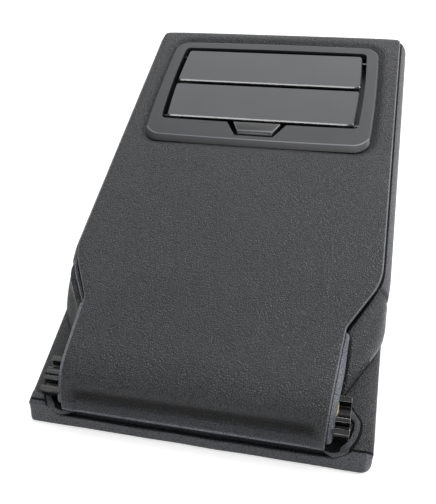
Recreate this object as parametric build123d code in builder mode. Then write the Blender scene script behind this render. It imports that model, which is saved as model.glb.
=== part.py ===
"""Folding rear seat armrest with a lidded cup holder, in millimetres.

X runs across the seat, Y runs from the hinge end to the cup holder end, Z is up.
The origin is in the middle of the underside.
"""

import os

from build123d import *

os.makedirs("parts", exist_ok=True)

# Overall sizes
overall_length = 472.0
overall_width = 280.0
cushion_height = 52.0
base_height = 23.0
cover_thickness = 2.0

# Upper cushion outline, lengths taken from the rear (hinge) end
seam_inset = 6.5
front_lean = 2.0
front_roll = 12.0
neck_drop = 5.0
neck_setback = 6.0
neck_step = 36.0
neck_taper = 5.0
neck_flare = 6.0
shoulder_start = 142.0
shoulder_length = 47.0
shoulder_sweep = 43.0
shoulder_round = 60.0
neck_round = 12.0
corner_round = 8.0
seam_land = 0.6
gusset_seam = 136.0

# Lower cushion
base_step = 1.0
base_corner = 6.0
base_top_round = 4.0
base_bottom_round = 4.0
hem_depth = 20.0
board_thickness = 3.0
board_inset = 10.0

# Carrier plate and apron
carrier_thickness = 3.0
carrier_inset = 11.0
carrier_rib_height = 7.0
carrier_rib_width = 3.0
apron_overhang = 11.0
apron_setback = 11.0
apron_round = 20.0
lip_gap = 1.0
fit_gap = 0.4

# Hinge brackets
pivot_setback = 30.0
pivot_bore = 3.5
bush_wall = 1.0
boss_wall = 1.5
left_reach = 20.0
right_reach = 15.0
bracket_tuck = 0.5
bracket_near = 14.0
bracket_far = 44.0
rib_thickness = 4.0
rib_height = 11.0
bracket_wall = 2.5
tongue_length = 30.0
tongue_thickness = 3.0

# Cup holder
bezel_margin = 25.0
front_rail = 11.5
rear_rail = 32.0
side_rail = 12.0
opening_length = 117.0
opening_half = 101.5
side_sag = 2.0
bezel_sag = 1.5
bezel_corner = 15.0
opening_corner = 5.0
bezel_rise = 2.0
rear_flange = 7.0
rear_flange_drop = 1.3
edge_break = 0.8
tray_wall = 2.5
skirt_depth = 8.0
latch_space = 8.5
well_radius = 39.0
well_spacing = 92.0
well_floor = 9.0
mat_thickness = 1.5
mat_gap = 0.5
pocket_gap = 0.8
ear_length = 9.0
ear_width = 14.0
ear_thickness = 2.5

# Lids
lid_gap = 4.5
lid_split = 5.5
lid_drop = 0.8
lid_cover_thickness = 2.4
lid_frame_thickness = 2.4
lid_frame_inset = 1.5
lid_corner = 2.5
lid_edge_round = 1.0
pivot_inset = 5.0
pivot_drop = 6.4
lug_radius = 4.0
lug_width = 5.0
lug_inset = 12.0
lid_pin_radius = 1.5
running_gap = 0.05
spring_wire = 0.4
lid_spring_turns = 3
tongue_depth = 6.5
tongue_wall = 3.0
catch_half_width = 5.0

# Release button and latch
notch_depth = 18.5
notch_rear_half = 19.0
notch_front_half = 30.0
button_gap = 4.0
button_height = 4.5
button_drop = 0.6
button_travel = 2.5
stem_half_width = 5.0
stem_length = 5.0
notch_floor_thickness = 2.0
slide_gap = 0.3
latch_thickness = 5.0
latch_half_width = 8.0
latch_neck_half = 3.5
latch_nose = 1.5
nose_gap = 0.8
post_length = 3.5
post_half_width = 3.0
latch_spring_radius = 2.0
latch_spring_turns = 5
spring_pocket = 12.0
strap_length = 6.0
strap_wall = 1.8

# Screws
screw_radius = 1.9
screw_head_radius = 3.6
screw_head_height = 2.2

# Levels and stations that follow from the sizes above
rear_end = -overall_length / 2
front_end = overall_length / 2
half_width = overall_width / 2
neck_half_width = half_width - neck_step
neck_roll = cushion_height - base_height - neck_drop
seam_half_width = half_width - seam_inset
seam_step = cover_thickness + seam_land
neck_rear = rear_end + neck_setback
shoulder_y = rear_end + shoulder_start
neck_corner_y = shoulder_y - shoulder_length
neck_corner_half = neck_half_width + neck_taper
crease_y = neck_corner_y - shoulder_sweep
base_half = half_width - base_step
base_front = front_end - base_step
hem_y = rear_end + hem_depth
carrier_top = base_height + carrier_thickness
apron_half_width = neck_half_width + apron_overhang
apron_rear = rear_end + apron_setback
apron_front = crease_y - fit_gap
lip_level = carrier_top + lip_gap
opening_front = front_end - bezel_margin - front_rail
opening_rear = opening_front - opening_length
opening_middle = (opening_front + opening_rear) / 2
bezel_front = front_end - bezel_margin
bezel_rear = opening_rear - rear_rail
bezel_half = opening_half + side_rail
bezel_top = cushion_height + bezel_rise
skirt_bottom = cushion_height - skirt_depth
deck_under = carrier_top + latch_space
deck_top = deck_under + tray_wall
well_outer = well_radius + tray_wall
lid_top = bezel_top - lid_drop
lid_mid = lid_top - lid_cover_thickness
lid_under = lid_mid - lid_frame_thickness
lid_pivot_z = lid_top - pivot_drop
front_pivot_y = opening_front - lid_gap - pivot_inset
rear_pivot_y = opening_rear + lid_gap + pivot_inset
coil_radius = lid_pin_radius + 1.5 * spring_wire
lug_outer = opening_half - side_sag - lid_gap - lug_inset + lug_width
notch_rear = opening_rear - notch_depth
button_top = bezel_top - button_drop
button_under = button_top - button_height
floor_under = skirt_bottom
floor_top = floor_under + notch_floor_thickness
latch_top = deck_under - slide_gap
latch_bottom = latch_top - latch_thickness
stem_rear = notch_rear + button_gap + tray_wall
stem_front = stem_rear + stem_length
wedge_tip = latch_bottom + button_travel / 2
wedge_sum = stem_front + wedge_tip
ramp_sum = wedge_sum - slide_gap * 1.5
latch_rear = notch_rear + button_travel + 2 * slide_gap
rear_lid_edge = opening_middle - lid_split / 2
front_lid_edge = opening_middle + lid_split / 2
rear_catch_y = rear_lid_edge - lid_frame_inset - tongue_wall
front_catch_y = front_lid_edge + lid_frame_inset
rear_post_y = rear_catch_y - nose_gap - latch_nose
front_post_y = front_catch_y - nose_gap - latch_nose
catch_bottom = lid_under - tongue_depth
latch_front = front_post_y + latch_nose / 2
spring_front = opening_middle - well_outer + spring_pocket
spring_rear = spring_front - spring_pocket
pivot_y = rear_end + pivot_setback
bush_radius = pivot_bore + bush_wall
boss_radius = bush_radius + boss_wall
pivot_z = carrier_top + boss_radius
ear_x = opening_half + tray_wall
bracket_start = neck_half_width - bracket_tuck
bracket_low = rear_end + bracket_near
bracket_high = rear_end + bracket_far
bracket_middle = (bracket_low + bracket_high) / 2


def upper_outline(edge_half, back, sweep, flare, front, inset, beyond):
    """Plan outline of the upper cushion: wide part, slanting shoulders and neck."""
    drift = inset / 4
    edge = edge_half - inset
    corner = neck_corner_half + flare / 2 - inset
    end = neck_half_width + flare - inset
    y_front = front - inset + beyond
    y_shoulder = shoulder_y - sweep + drift
    y_corner = neck_corner_y - sweep + drift
    y_back = back + inset - beyond
    with BuildSketch() as outline:
        with BuildLine():
            Polyline(
                (edge, y_front),
                (edge, y_shoulder),
                (corner, y_corner),
                (end, y_back),
                (-end, y_back),
                (-corner, y_corner),
                (-edge, y_shoulder),
                (-edge, y_front),
                close=True,
            )
        make_face()
        corners = outline.vertices()
        fillet(corners.filter_by_position(Axis.Y, y_shoulder - 0.1, y_shoulder + 0.1), shoulder_round)
        corners = outline.vertices()
        fillet(corners.filter_by_position(Axis.Y, y_corner - 0.1, y_corner + 0.1), neck_round)
        corners = outline.vertices()
        fillet(corners.filter_by_position(Axis.Y, y_front - 0.1, y_front + 0.1), corner_round - inset / 4)
    return outline.sketch


def upper_body(inset):
    """Upper cushion as a block, drawn in from the outside by the inset."""
    top = cushion_height - inset
    with BuildPart() as side_view:
        with BuildSketch(Plane.YZ):
            with BuildLine():
                Polyline(
                    (neck_rear + inset, base_height),
                    (front_end - inset, base_height),
                    (front_end - inset, top),
                    (neck_rear + inset, top),
                    close=True,
                )
            make_face()
        extrude(amount=overall_width, both=True)
        ridge = side_view.edges().filter_by(Axis.X).group_by(Axis.Z)[-1].sort_by(Axis.Y)
        fillet(ridge[0], neck_roll - inset)
        ridge = side_view.edges().filter_by(Axis.X).group_by(Axis.Z)[-1].sort_by(Axis.Y)
        fillet(ridge[-1], front_roll - inset)
    with BuildPart() as block:
        with BuildSketch(Plane.XY.offset(base_height)):
            add(upper_outline(half_width, neck_rear, shoulder_sweep, neck_flare, front_end, inset, 0))
        with BuildSketch(Plane.XY.offset(cushion_height)):
            add(upper_outline(seam_half_width, neck_rear, 0, 0, front_end - front_lean, inset, 0))
        loft(ruled=True)
        add(side_view.part, mode=Mode.INTERSECT)
    return block.part


def base_body(inset):
    """Lower cushion as a block, drawn in from the outside by the inset."""
    with BuildPart() as block:
        with BuildSketch(Plane.XY.offset(inset)):
            with Locations((0, (rear_end + base_front) / 2)):
                RectangleRounded(
                    2 * (base_half - inset),
                    base_front - rear_end - 2 * inset,
                    base_corner - inset,
                )
        extrude(amount=base_height - 2 * inset)
        rims = block.edges().group_by(Axis.Z)
        fillet(rims[0], base_bottom_round - inset)
        rims = block.edges().group_by(Axis.Z)
        fillet(rims[-1], base_top_round - inset)
    return block.part


def barrel(half, low, high, sag, end_sag, corner):
    """Four sided outline with gently bowed sides and rounded corners."""
    middle = (low + high) / 2
    with BuildSketch() as outline:
        with BuildLine():
            ThreePointArc((half - sag, low + end_sag), (half, middle), (half - sag, high - end_sag))
            ThreePointArc((half - sag, high - end_sag), (0, high), (sag - half, high - end_sag))
            ThreePointArc((sag - half, high - end_sag), (-half, middle), (sag - half, low + end_sag))
            ThreePointArc((sag - half, low + end_sag), (0, low), (half - sag, low + end_sag))
        make_face()
        fillet(outline.vertices(), corner)
    return outline.sketch


def opening_plan(grow):
    """Cup holder opening joined to the notch of the release button, grown outwards."""
    with BuildSketch() as plan:
        add(
            barrel(
                opening_half + grow,
                opening_rear - grow,
                opening_front + grow,
                side_sag,
                bezel_sag / 2,
                opening_corner + grow,
            )
        )
        with BuildLine():
            Polyline(
                (notch_front_half + grow, opening_middle),
                (notch_front_half + grow, opening_rear),
                (notch_rear_half + grow, notch_rear - grow),
                (-notch_rear_half - grow, notch_rear - grow),
                (-notch_front_half - grow, opening_rear),
                (-notch_front_half - grow, opening_middle),
                close=True,
            )
        make_face()
    return plan.sketch


def well_plan(radius):
    """Plan of the pocket round both cup wells."""
    with BuildSketch() as plan:
        with Locations((0, opening_middle)):
            SlotCenterToCenter(well_spacing, 2 * radius)
    return plan.sketch


def ear_places():
    """Plan positions of the four fixing ears of the cup tray."""
    side = ear_x + ear_length / 2
    inner = opening_length / 2 - 2 * ear_width
    return [
        (side, opening_middle + inner),
        (side, opening_middle - inner),
        (-side, opening_middle + inner),
        (-side, opening_middle - inner),
    ]


def screw(place, level, length):
    """Pan head screw standing on the given level."""
    with BuildPart() as fixing:
        with BuildSketch(Plane.XY.offset(level)):
            with Locations(place):
                Circle(screw_head_radius)
        extrude(amount=screw_head_height)
        with BuildSketch(Plane.XY.offset(level)):
            with Locations(place):
                Circle(screw_radius)
        extrude(amount=-length)
    return fixing.part


# Cup tray with two wells, standing on the carrier
with BuildPart() as cup_tray:
    with BuildSketch(Plane.XY.offset(carrier_top)):
        add(opening_plan(tray_wall))
        add(opening_plan(0), mode=Mode.SUBTRACT)
    extrude(amount=skirt_bottom - carrier_top)
    with BuildSketch(Plane.XY.offset(deck_under)):
        add(opening_plan(tray_wall / 2))
    extrude(amount=tray_wall)
    with BuildSketch(Plane.XY.offset(well_floor - tray_wall)):
        with Locations((-well_spacing / 2, opening_middle), (well_spacing / 2, opening_middle)):
            Circle(well_outer)
    extrude(amount=deck_top - well_floor + tray_wall)
    with BuildSketch(Plane.XY.offset(well_floor)):
        with Locations((-well_spacing / 2, opening_middle), (well_spacing / 2, opening_middle)):
            Circle(well_radius)
    extrude(amount=deck_top - well_floor, mode=Mode.SUBTRACT)
    with BuildSketch(Plane.XY.offset(carrier_top)):
        with Locations(*ear_places()):
            Rectangle(ear_length + 2 * side_sag, ear_width)
        add(opening_plan(tray_wall / 2), mode=Mode.SUBTRACT)
    extrude(amount=ear_thickness)
    with BuildSketch(Plane.XY.offset(carrier_top)):
        with Locations(*ear_places()):
            Circle(screw_radius + running_gap)
    extrude(amount=ear_thickness, mode=Mode.SUBTRACT)
    # slots in the deck for the latch posts and the button stem
    with BuildSketch(Plane.XY.offset(deck_under)):
        with Locations(
            (0, rear_post_y - (post_length + button_travel) / 2),
            (0, front_post_y - (post_length + button_travel) / 2),
        ):
            Rectangle(2 * (post_half_width + slide_gap), post_length + button_travel + 2 * slide_gap)
        with Locations((0, (stem_rear + stem_front) / 2)):
            Rectangle(2 * (stem_half_width + slide_gap), stem_length + 2 * slide_gap)
    extrude(amount=tray_wall, mode=Mode.SUBTRACT)
    # straps that carry the latch bar under the deck
    with BuildSketch(Plane.XY.offset(latch_bottom - slide_gap - strap_wall)):
        with Locations((0, opening_rear + strap_length)):
            Rectangle(2 * (latch_half_width + slide_gap + strap_wall), strap_length)
        with Locations((0, opening_middle - well_outer / 2)):
            Rectangle(2 * (latch_neck_half + slide_gap + strap_wall), strap_length)
    extrude(amount=deck_under - latch_bottom + slide_gap + strap_wall)
    with BuildSketch(Plane.XY.offset(latch_bottom - slide_gap)):
        with Locations((0, opening_rear + strap_length)):
            Rectangle(2 * (latch_half_width + slide_gap), strap_length)
        with Locations((0, opening_middle - well_outer / 2)):
            Rectangle(2 * (latch_neck_half + slide_gap), strap_length)
    extrude(amount=deck_under - latch_bottom + slide_gap, mode=Mode.SUBTRACT)
    # stop for the latch spring
    with BuildSketch(Plane.XY.offset(latch_bottom + slide_gap)):
        with Locations((0, spring_rear + slide_gap + tray_wall / 2)):
            Rectangle(2 * latch_spring_radius + 1, tray_wall)
    extrude(amount=deck_under - latch_bottom - slide_gap)
export_step(cup_tray.part, "parts/cup_tray.step")

# Cup mats on the floors of the wells
with BuildPart() as left_cup_mat:
    with BuildSketch(Plane.XY.offset(well_floor)):
        with Locations((-well_spacing / 2, opening_middle)):
            Circle(well_radius - mat_gap)
    extrude(amount=mat_thickness)
export_step(left_cup_mat.part, "parts/left_cup_mat.step")

with BuildPart() as right_cup_mat:
    mirror(left_cup_mat.part, about=Plane.YZ)
export_step(right_cup_mat.part, "parts/right_cup_mat.step")

# Bezel: raised frame on the cover, with a skirt down to the tray
with BuildPart() as bezel:
    with BuildSketch(Plane.XY.offset(cushion_height)):
        add(barrel(bezel_half, bezel_rear, bezel_front, side_sag, bezel_sag, bezel_corner))
    extrude(amount=bezel_rise)
    fillet(bezel.edges().group_by(Axis.Z)[-1], edge_break)
    with BuildSketch(Plane.YZ):
        with BuildLine():
            Polyline(
                (bezel_rear - 1, bezel_top - rear_flange_drop),
                (bezel_rear + rear_flange, bezel_top),
                (bezel_rear + rear_flange, bezel_top + 1),
                (bezel_rear - 1, bezel_top + 1),
                close=True,
            )
        make_face()
    extrude(amount=bezel_half + 1, both=True, mode=Mode.SUBTRACT)
    with BuildSketch(Plane.XY.offset(skirt_bottom)):
        add(opening_plan(tray_wall))
    extrude(amount=cushion_height - skirt_bottom)
    with BuildSketch(Plane.XY.offset(skirt_bottom)):
        add(opening_plan(0))
    extrude(amount=bezel_top - skirt_bottom, mode=Mode.SUBTRACT)
    with BuildSketch(Plane.XY.offset(floor_under)):
        with BuildLine():
            Polyline(
                (notch_front_half + 1, opening_rear - tray_wall),
                (notch_rear_half + 1, notch_rear - 1),
                (-notch_rear_half - 1, notch_rear - 1),
                (-notch_front_half - 1, opening_rear - tray_wall),
                close=True,
            )
        make_face()
        with Locations((0, (stem_rear + stem_front) / 2)):
            Rectangle(
                2 * (stem_half_width + slide_gap),
                stem_length + 2 * slide_gap,
                mode=Mode.SUBTRACT,
            )
    extrude(amount=notch_floor_thickness)
    with BuildSketch(Plane.YZ):
        with Locations((front_pivot_y, lid_pivot_z), (rear_pivot_y, lid_pivot_z)):
            Circle(lid_pin_radius + running_gap)
    extrude(amount=opening_half + tray_wall - 1, both=True, mode=Mode.SUBTRACT)
export_step(bezel.part, "parts/bezel.step")


def lid_plan(inset):
    """Both lids in plan before the gap between them is taken out."""
    return barrel(
        opening_half - lid_gap - inset,
        opening_rear + lid_gap + inset,
        opening_front - lid_gap - inset,
        side_sag,
        bezel_sag / 2,
        lid_corner,
    )


def lid_strip(low, high, inset):
    """One lid in plan, between two stations along Y."""
    with BuildSketch() as plan:
        add(lid_plan(inset))
        with Locations((0, (low + high) / 2)):
            Rectangle(overall_width, high - low, mode=Mode.INTERSECT)
    return plan.sketch


def lid_lugs(lug_y):
    """Two hinge lugs of a lid, bored for the pins."""
    with BuildPart() as lugs:
        for side in (-1, 1):
            with BuildSketch(Plane.YZ.offset(side * lug_outer)):
                with Locations((lug_y, lid_pivot_z)):
                    Circle(lug_radius)
                with Locations((lug_y, (lid_pivot_z + lid_under) / 2)):
                    Rectangle(2 * lug_radius, lid_under - lid_pivot_z)
            extrude(amount=-side * lug_width)
    return lugs.part


def lid_bores(lug_y):
    """Bores through the lugs of a lid, and relief round the springs outside them."""
    relief = coil_radius + 3 * spring_wire
    with BuildPart() as bores:
        with BuildSketch(Plane.YZ):
            with Locations((lug_y, lid_pivot_z)):
                Circle(lid_pin_radius + running_gap)
        extrude(amount=overall_width / 2, both=True)
        for side in (-1, 1):
            with BuildSketch(Plane.YZ.offset(side * lug_outer)):
                with Locations((lug_y, lid_pivot_z)):
                    Rectangle(2 * relief, 2 * (lid_mid - lid_pivot_z))
            extrude(amount=side * lug_inset)
    return bores.part


def lid_pins(pin_y):
    """Pair of hinge pins from the bezel skirt into the lid lugs."""
    inner = lug_outer - lug_width - 1
    with BuildPart() as pins:
        for side in (-1, 1):
            with BuildSketch(Plane.YZ.offset(side * inner)):
                with Locations((pin_y, lid_pivot_z)):
                    Circle(lid_pin_radius)
            extrude(amount=side * (opening_half + tray_wall - 1.5 - inner))
    return pins.part


def lid_coils(pin_y):
    """Pair of torsion springs round the hinge pins of one lid."""
    length = lid_spring_turns * 3 * spring_wire
    with BuildPart() as coils:
        for side in (-1, 1):
            start = side * (lug_outer + 4 * spring_wire)
            with BuildLine():
                path = Helix(
                    pitch=length / lid_spring_turns,
                    height=length,
                    radius=coil_radius,
                    center=(start, pin_y, lid_pivot_z),
                    direction=(side, 0, 0),
                )
            with BuildSketch(Plane(origin=path @ 0, z_dir=path % 0)):
                RegularPolygon(spring_wire, 4)
            sweep(path=path, is_frenet=True)
    return coils.part


# Front lid: glossy cover on a frame with lugs and a catch
front_lid_far = opening_front
with BuildPart() as front_lid_cover:
    with BuildSketch(Plane.XY.offset(lid_mid)):
        add(lid_strip(front_lid_edge, front_lid_far, 0))
    extrude(amount=lid_cover_thickness)
    fillet(front_lid_cover.edges().group_by(Axis.Z)[-1], lid_edge_round)
export_step(front_lid_cover.part, "parts/front_lid_cover.step")

with BuildPart() as front_lid_frame:
    with BuildSketch(Plane.XY.offset(lid_under)):
        add(lid_strip(front_lid_edge + lid_frame_inset, front_lid_far, lid_frame_inset))
    extrude(amount=lid_frame_thickness)
    add(lid_lugs(front_pivot_y))
    with BuildSketch(Plane.XY.offset(catch_bottom)):
        with Locations((0, front_catch_y + tongue_wall / 2)):
            Rectangle(2 * catch_half_width, tongue_wall)
    extrude(amount=lid_under - catch_bottom)
    add(lid_bores(front_pivot_y), mode=Mode.SUBTRACT)
export_step(front_lid_frame.part, "parts/front_lid_frame.step")

# Rear lid, the same make, hinged beside the release button
with BuildPart() as rear_lid_cover:
    with BuildSketch(Plane.XY.offset(lid_mid)):
        add(lid_strip(opening_rear, rear_lid_edge, 0))
    extrude(amount=lid_cover_thickness)
    fillet(rear_lid_cover.edges().group_by(Axis.Z)[-1], lid_edge_round)
export_step(rear_lid_cover.part, "parts/rear_lid_cover.step")

with BuildPart() as rear_lid_frame:
    with BuildSketch(Plane.XY.offset(lid_under)):
        add(lid_strip(opening_rear, rear_lid_edge - lid_frame_inset, lid_frame_inset))
    extrude(amount=lid_frame_thickness)
    add(lid_lugs(rear_pivot_y))
    with BuildSketch(Plane.XY.offset(catch_bottom)):
        with Locations((0, rear_catch_y + tongue_wall / 2)):
            Rectangle(2 * catch_half_width, tongue_wall)
    extrude(amount=lid_under - catch_bottom)
    add(lid_bores(rear_pivot_y), mode=Mode.SUBTRACT)
export_step(rear_lid_frame.part, "parts/rear_lid_frame.step")

with BuildPart() as front_lid_pins:
    add(lid_pins(front_pivot_y))
export_step(front_lid_pins.part, "parts/front_lid_pins.step")

with BuildPart() as rear_lid_pins:
    add(lid_pins(rear_pivot_y))
export_step(rear_lid_pins.part, "parts/rear_lid_pins.step")

with BuildPart() as front_lid_springs:
    add(lid_coils(front_pivot_y))
export_step(front_lid_springs.part, "parts/front_lid_springs.step")

with BuildPart() as rear_lid_springs:
    add(lid_coils(rear_pivot_y))
export_step(rear_lid_springs.part, "parts/rear_lid_springs.step")

# Release button: cap in the notch with a stem that ends in a wedge
with BuildPart() as release_button:
    with BuildSketch(Plane.XY.offset(button_under)):
        with BuildLine():
            Polyline(
                (notch_front_half - 1.5 * button_gap, opening_rear),
                (notch_rear_half - button_gap / 2, notch_rear + button_gap),
                (button_gap / 2 - notch_rear_half, notch_rear + button_gap),
                (1.5 * button_gap - notch_front_half, opening_rear),
                close=True,
            )
        make_face()
    extrude(amount=button_height)
    cap_rear = release_button.edges().filter_by(Axis.X).group_by(Axis.Z)[-1].sort_by(Axis.Y)[0]
    chamfer(cap_rear, button_height / 2)
    with BuildSketch(Plane.YZ):
        with BuildLine():
            Polyline(
                (stem_rear, button_under),
                (stem_rear, wedge_sum - stem_rear),
                (stem_front, wedge_tip),
                (stem_front, button_under),
                close=True,
            )
        make_face()
    extrude(amount=stem_half_width, both=True)
export_step(release_button.part, "parts/release_button.step")

# Latch bar under the deck, with a ramp for the button and a post for each lid
with BuildPart() as latch_bar:
    with BuildSketch(Plane.XY.offset(latch_bottom)):
        with Locations((0, (latch_rear + spring_front + tray_wall) / 2)):
            Rectangle(2 * latch_half_width, spring_front + tray_wall - latch_rear)
        with Locations((0, (latch_rear + latch_front) / 2)):
            Rectangle(2 * latch_neck_half, latch_front - latch_rear)
        with Locations((0, (spring_front + spring_rear) / 2)):
            Rectangle(2 * latch_spring_radius + 2, spring_pocket, mode=Mode.SUBTRACT)
    extrude(amount=latch_thickness)
    with BuildSketch(Plane.YZ):
        with BuildLine():
            Polyline(
                (ramp_sum - latch_top, latch_top),
                (ramp_sum - latch_bottom, latch_bottom),
                (stem_front + button_travel + 2 * slide_gap, latch_bottom),
                (stem_front + button_travel + 2 * slide_gap, latch_top),
                close=True,
            )
        make_face()
    extrude(amount=stem_half_width + slide_gap, both=True, mode=Mode.SUBTRACT)
    for post_y in (rear_post_y, front_post_y):
        with BuildSketch(Plane.YZ):
            with BuildLine():
                Polyline(
                    (post_y - post_length, latch_top - 1),
                    (post_y, latch_top - 1),
                    (post_y, catch_bottom + latch_nose),
                    (post_y + latch_nose, catch_bottom + latch_nose),
                    (post_y, catch_bottom + 3 * latch_nose),
                    (post_y - post_length, catch_bottom + 3 * latch_nose),
                    close=True,
                )
            make_face()
        extrude(amount=post_half_width, both=True)
export_step(latch_bar.part, "parts/latch_bar.step")

# Latch spring in the pocket of the bar
with BuildPart() as latch_spring:
    coil_start = spring_rear + slide_gap + tray_wall + 2 * spring_wire
    coil_length = spring_front - 2 * spring_wire - coil_start
    with BuildLine():
        coil = Helix(
            pitch=coil_length / latch_spring_turns,
            height=coil_length,
            radius=latch_spring_radius,
            center=(0, coil_start, (latch_top + latch_bottom) / 2),
            direction=(0, 1, 0),
        )
    with BuildSketch(Plane(origin=coil @ 0, z_dir=coil % 0)):
        RegularPolygon(spring_wire, 4)
    sweep(path=coil, is_frenet=True)
export_step(latch_spring.part, "parts/latch_spring.step")


# Carrier plate of the upper cushion
with BuildPart() as carrier:
    with BuildSketch(Plane.XY.offset(base_height)):
        add(
            upper_outline(
                half_width, neck_rear, shoulder_sweep, neck_flare, front_end, carrier_inset, 0
            )
        )
        add(well_plan(well_outer + pocket_gap), mode=Mode.SUBTRACT)
    extrude(amount=carrier_thickness)
    # stiffening ribs across the plate, behind the cup holder
    with BuildSketch(Plane.XY.offset(carrier_top)):
        with Locations((0, shoulder_y), (0, (shoulder_y + bezel_rear) / 2)):
            Rectangle(2 * neck_half_width, carrier_rib_width)
        with Locations(
            (0, (shoulder_y + bezel_rear) / 2),
            (neck_half_width / 2, (shoulder_y + bezel_rear) / 2),
            (-neck_half_width / 2, (shoulder_y + bezel_rear) / 2),
        ):
            Rectangle(carrier_rib_width, bezel_rear - shoulder_y - 2 * tray_wall)
    extrude(amount=carrier_rib_height)

# Screws of the tray, driven through its ears into the carrier
with BuildPart() as tray_screws:
    for place in ear_places():
        add(screw(place, carrier_top + ear_thickness, ear_thickness + carrier_thickness - 0.5))
export_step(tray_screws.part, "parts/tray_screws.step")


def bracket_body(reach):
    """Moulded hinge bracket for the right side: tongue, back wall, three ribs and a boss."""
    outer = bracket_start + reach
    with BuildPart() as body:
        with BuildSketch(Plane.XY.offset(carrier_top)):
            with Locations((bracket_start - tongue_length / 2, bracket_middle)):
                Rectangle(tongue_length + bracket_wall, bracket_high - bracket_low - 2 * rib_thickness)
        extrude(amount=tongue_thickness)
        with BuildSketch(Plane.XY.offset(carrier_top)):
            with Locations((bracket_start + bracket_wall / 2, bracket_middle)):
                Rectangle(bracket_wall, bracket_high - bracket_low)
            with Locations(
                (bracket_start + reach / 2, bracket_low + rib_thickness / 2),
                (bracket_start + reach / 2, bracket_middle - rib_thickness / 2 - boss_wall),
                (bracket_start + reach / 2, bracket_high - rib_thickness / 2),
            ):
                Rectangle(reach, rib_thickness)
        extrude(amount=rib_height)
        with BuildSketch(Plane.XY.offset(carrier_top)):
            with Locations((bracket_start + reach / 2, bracket_middle)):
                Rectangle(reach, bracket_high - bracket_low)
        extrude(amount=bracket_wall)
        with BuildSketch(Plane.YZ.offset(bracket_start)):
            with Locations((pivot_y, pivot_z)):
                Circle(boss_radius)
            with Locations((pivot_y, (pivot_z + carrier_top) / 2)):
                Rectangle(2 * boss_radius, pivot_z - carrier_top)
        extrude(amount=reach)
        with BuildSketch(Plane.YZ.offset(bracket_start + bracket_wall)):
            with Locations((pivot_y, pivot_z)):
                Circle(bush_radius + running_gap)
        extrude(amount=reach - bracket_wall, mode=Mode.SUBTRACT)
        with BuildSketch(Plane.XY.offset(carrier_top)):
            with Locations(*bracket_places()):
                Circle(screw_radius + running_gap)
        extrude(amount=tongue_thickness, mode=Mode.SUBTRACT)
    return body.part


def bracket_places():
    """Plan positions of the two screws of the right hinge bracket."""
    step = (bracket_high - bracket_low) / 2 - rib_thickness - 2 * screw_head_radius / 2 - 1
    inner = bracket_start - tongue_length + 2 * screw_head_radius
    return [(inner, bracket_middle - step), (inner, bracket_middle + step)]


def bush_body(reach):
    """Pivot bush for the right side, open towards the seat frame."""
    with BuildPart() as bush:
        with BuildSketch(Plane.YZ.offset(bracket_start + bracket_wall)):
            with Locations((pivot_y, pivot_z)):
                Circle(bush_radius)
        extrude(amount=reach - bracket_wall)
        with BuildSketch(Plane.YZ.offset(bracket_start + bracket_wall)):
            with Locations((pivot_y, pivot_z)):
                Circle(pivot_bore)
        extrude(amount=reach - bracket_wall, mode=Mode.SUBTRACT)
    return bush.part


with BuildPart() as right_hinge_bracket:
    add(bracket_body(right_reach))
export_step(right_hinge_bracket.part, "parts/right_hinge_bracket.step")

with BuildPart() as left_hinge_bracket:
    mirror(bracket_body(left_reach), about=Plane.YZ)
export_step(left_hinge_bracket.part, "parts/left_hinge_bracket.step")

with BuildPart() as right_pivot_bush:
    add(bush_body(right_reach))
export_step(right_pivot_bush.part, "parts/right_pivot_bush.step")

with BuildPart() as left_pivot_bush:
    mirror(bush_body(left_reach), about=Plane.YZ)
export_step(left_pivot_bush.part, "parts/left_pivot_bush.step")

with BuildPart() as bracket_screws:
    for place in bracket_places():
        add(screw(place, carrier_top + tongue_thickness, tongue_thickness + carrier_thickness - 0.5))
    mirror(bracket_screws.part, about=Plane.YZ)
export_step(bracket_screws.part, "parts/bracket_screws.step")

with BuildPart() as carrier_drilled:
    add(carrier.part)
    with BuildSketch(Plane.XY.offset(base_height)):
        with Locations(*ear_places()):
            Circle(screw_radius + running_gap)
        for place in bracket_places():
            with Locations(place, (-place[0], place[1])):
                Circle(screw_radius + running_gap)
    extrude(amount=carrier_thickness, mode=Mode.SUBTRACT)
export_step(carrier_drilled.part, "parts/carrier.step")

# Space for the brackets, taken out of the foam and the neck strips
with BuildPart() as bracket_space:
    with BuildSketch(Plane.XY.offset(carrier_top)):
        with Locations((bracket_start + half_width / 2 - fit_gap, bracket_middle)):
            Rectangle(half_width, bracket_high - bracket_low + 2 * fit_gap)
    extrude(amount=2 * boss_radius + fit_gap)
    with BuildSketch(Plane.XY.offset(carrier_top)):
        with Locations((bracket_start - tongue_length / 2, bracket_middle)):
            Rectangle(
                tongue_length + bracket_wall + 2 * fit_gap,
                bracket_high - bracket_low - 2 * rib_thickness + 2 * fit_gap,
            )
    extrude(amount=tongue_thickness)
    with BuildSketch(Plane.XY.offset(carrier_top)):
        with Locations(*bracket_places()):
            Circle(screw_head_radius + fit_gap)
    extrude(amount=tongue_thickness + screw_head_height + fit_gap)
    mirror(bracket_space.part, about=Plane.YZ)

# Space for the cup holder, taken out of the foam and the cover
with BuildPart() as module_space:
    with BuildSketch(Plane.XY.offset(carrier_top)):
        add(opening_plan(tray_wall + pocket_gap))
    extrude(amount=cushion_height - carrier_top)
    with BuildSketch(Plane.XY.offset(carrier_top)):
        with Locations(*ear_places()):
            Rectangle(ear_length + 2 * side_sag + 2 * fit_gap, ear_width + 2 * fit_gap)
    extrude(amount=ear_thickness + screw_head_height + fit_gap)

with BuildPart() as well_space:
    with BuildSketch(Plane.XY.offset(well_floor - tray_wall)):
        add(well_plan(well_outer + pocket_gap))
    extrude(amount=base_height - well_floor + tray_wall)

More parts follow.
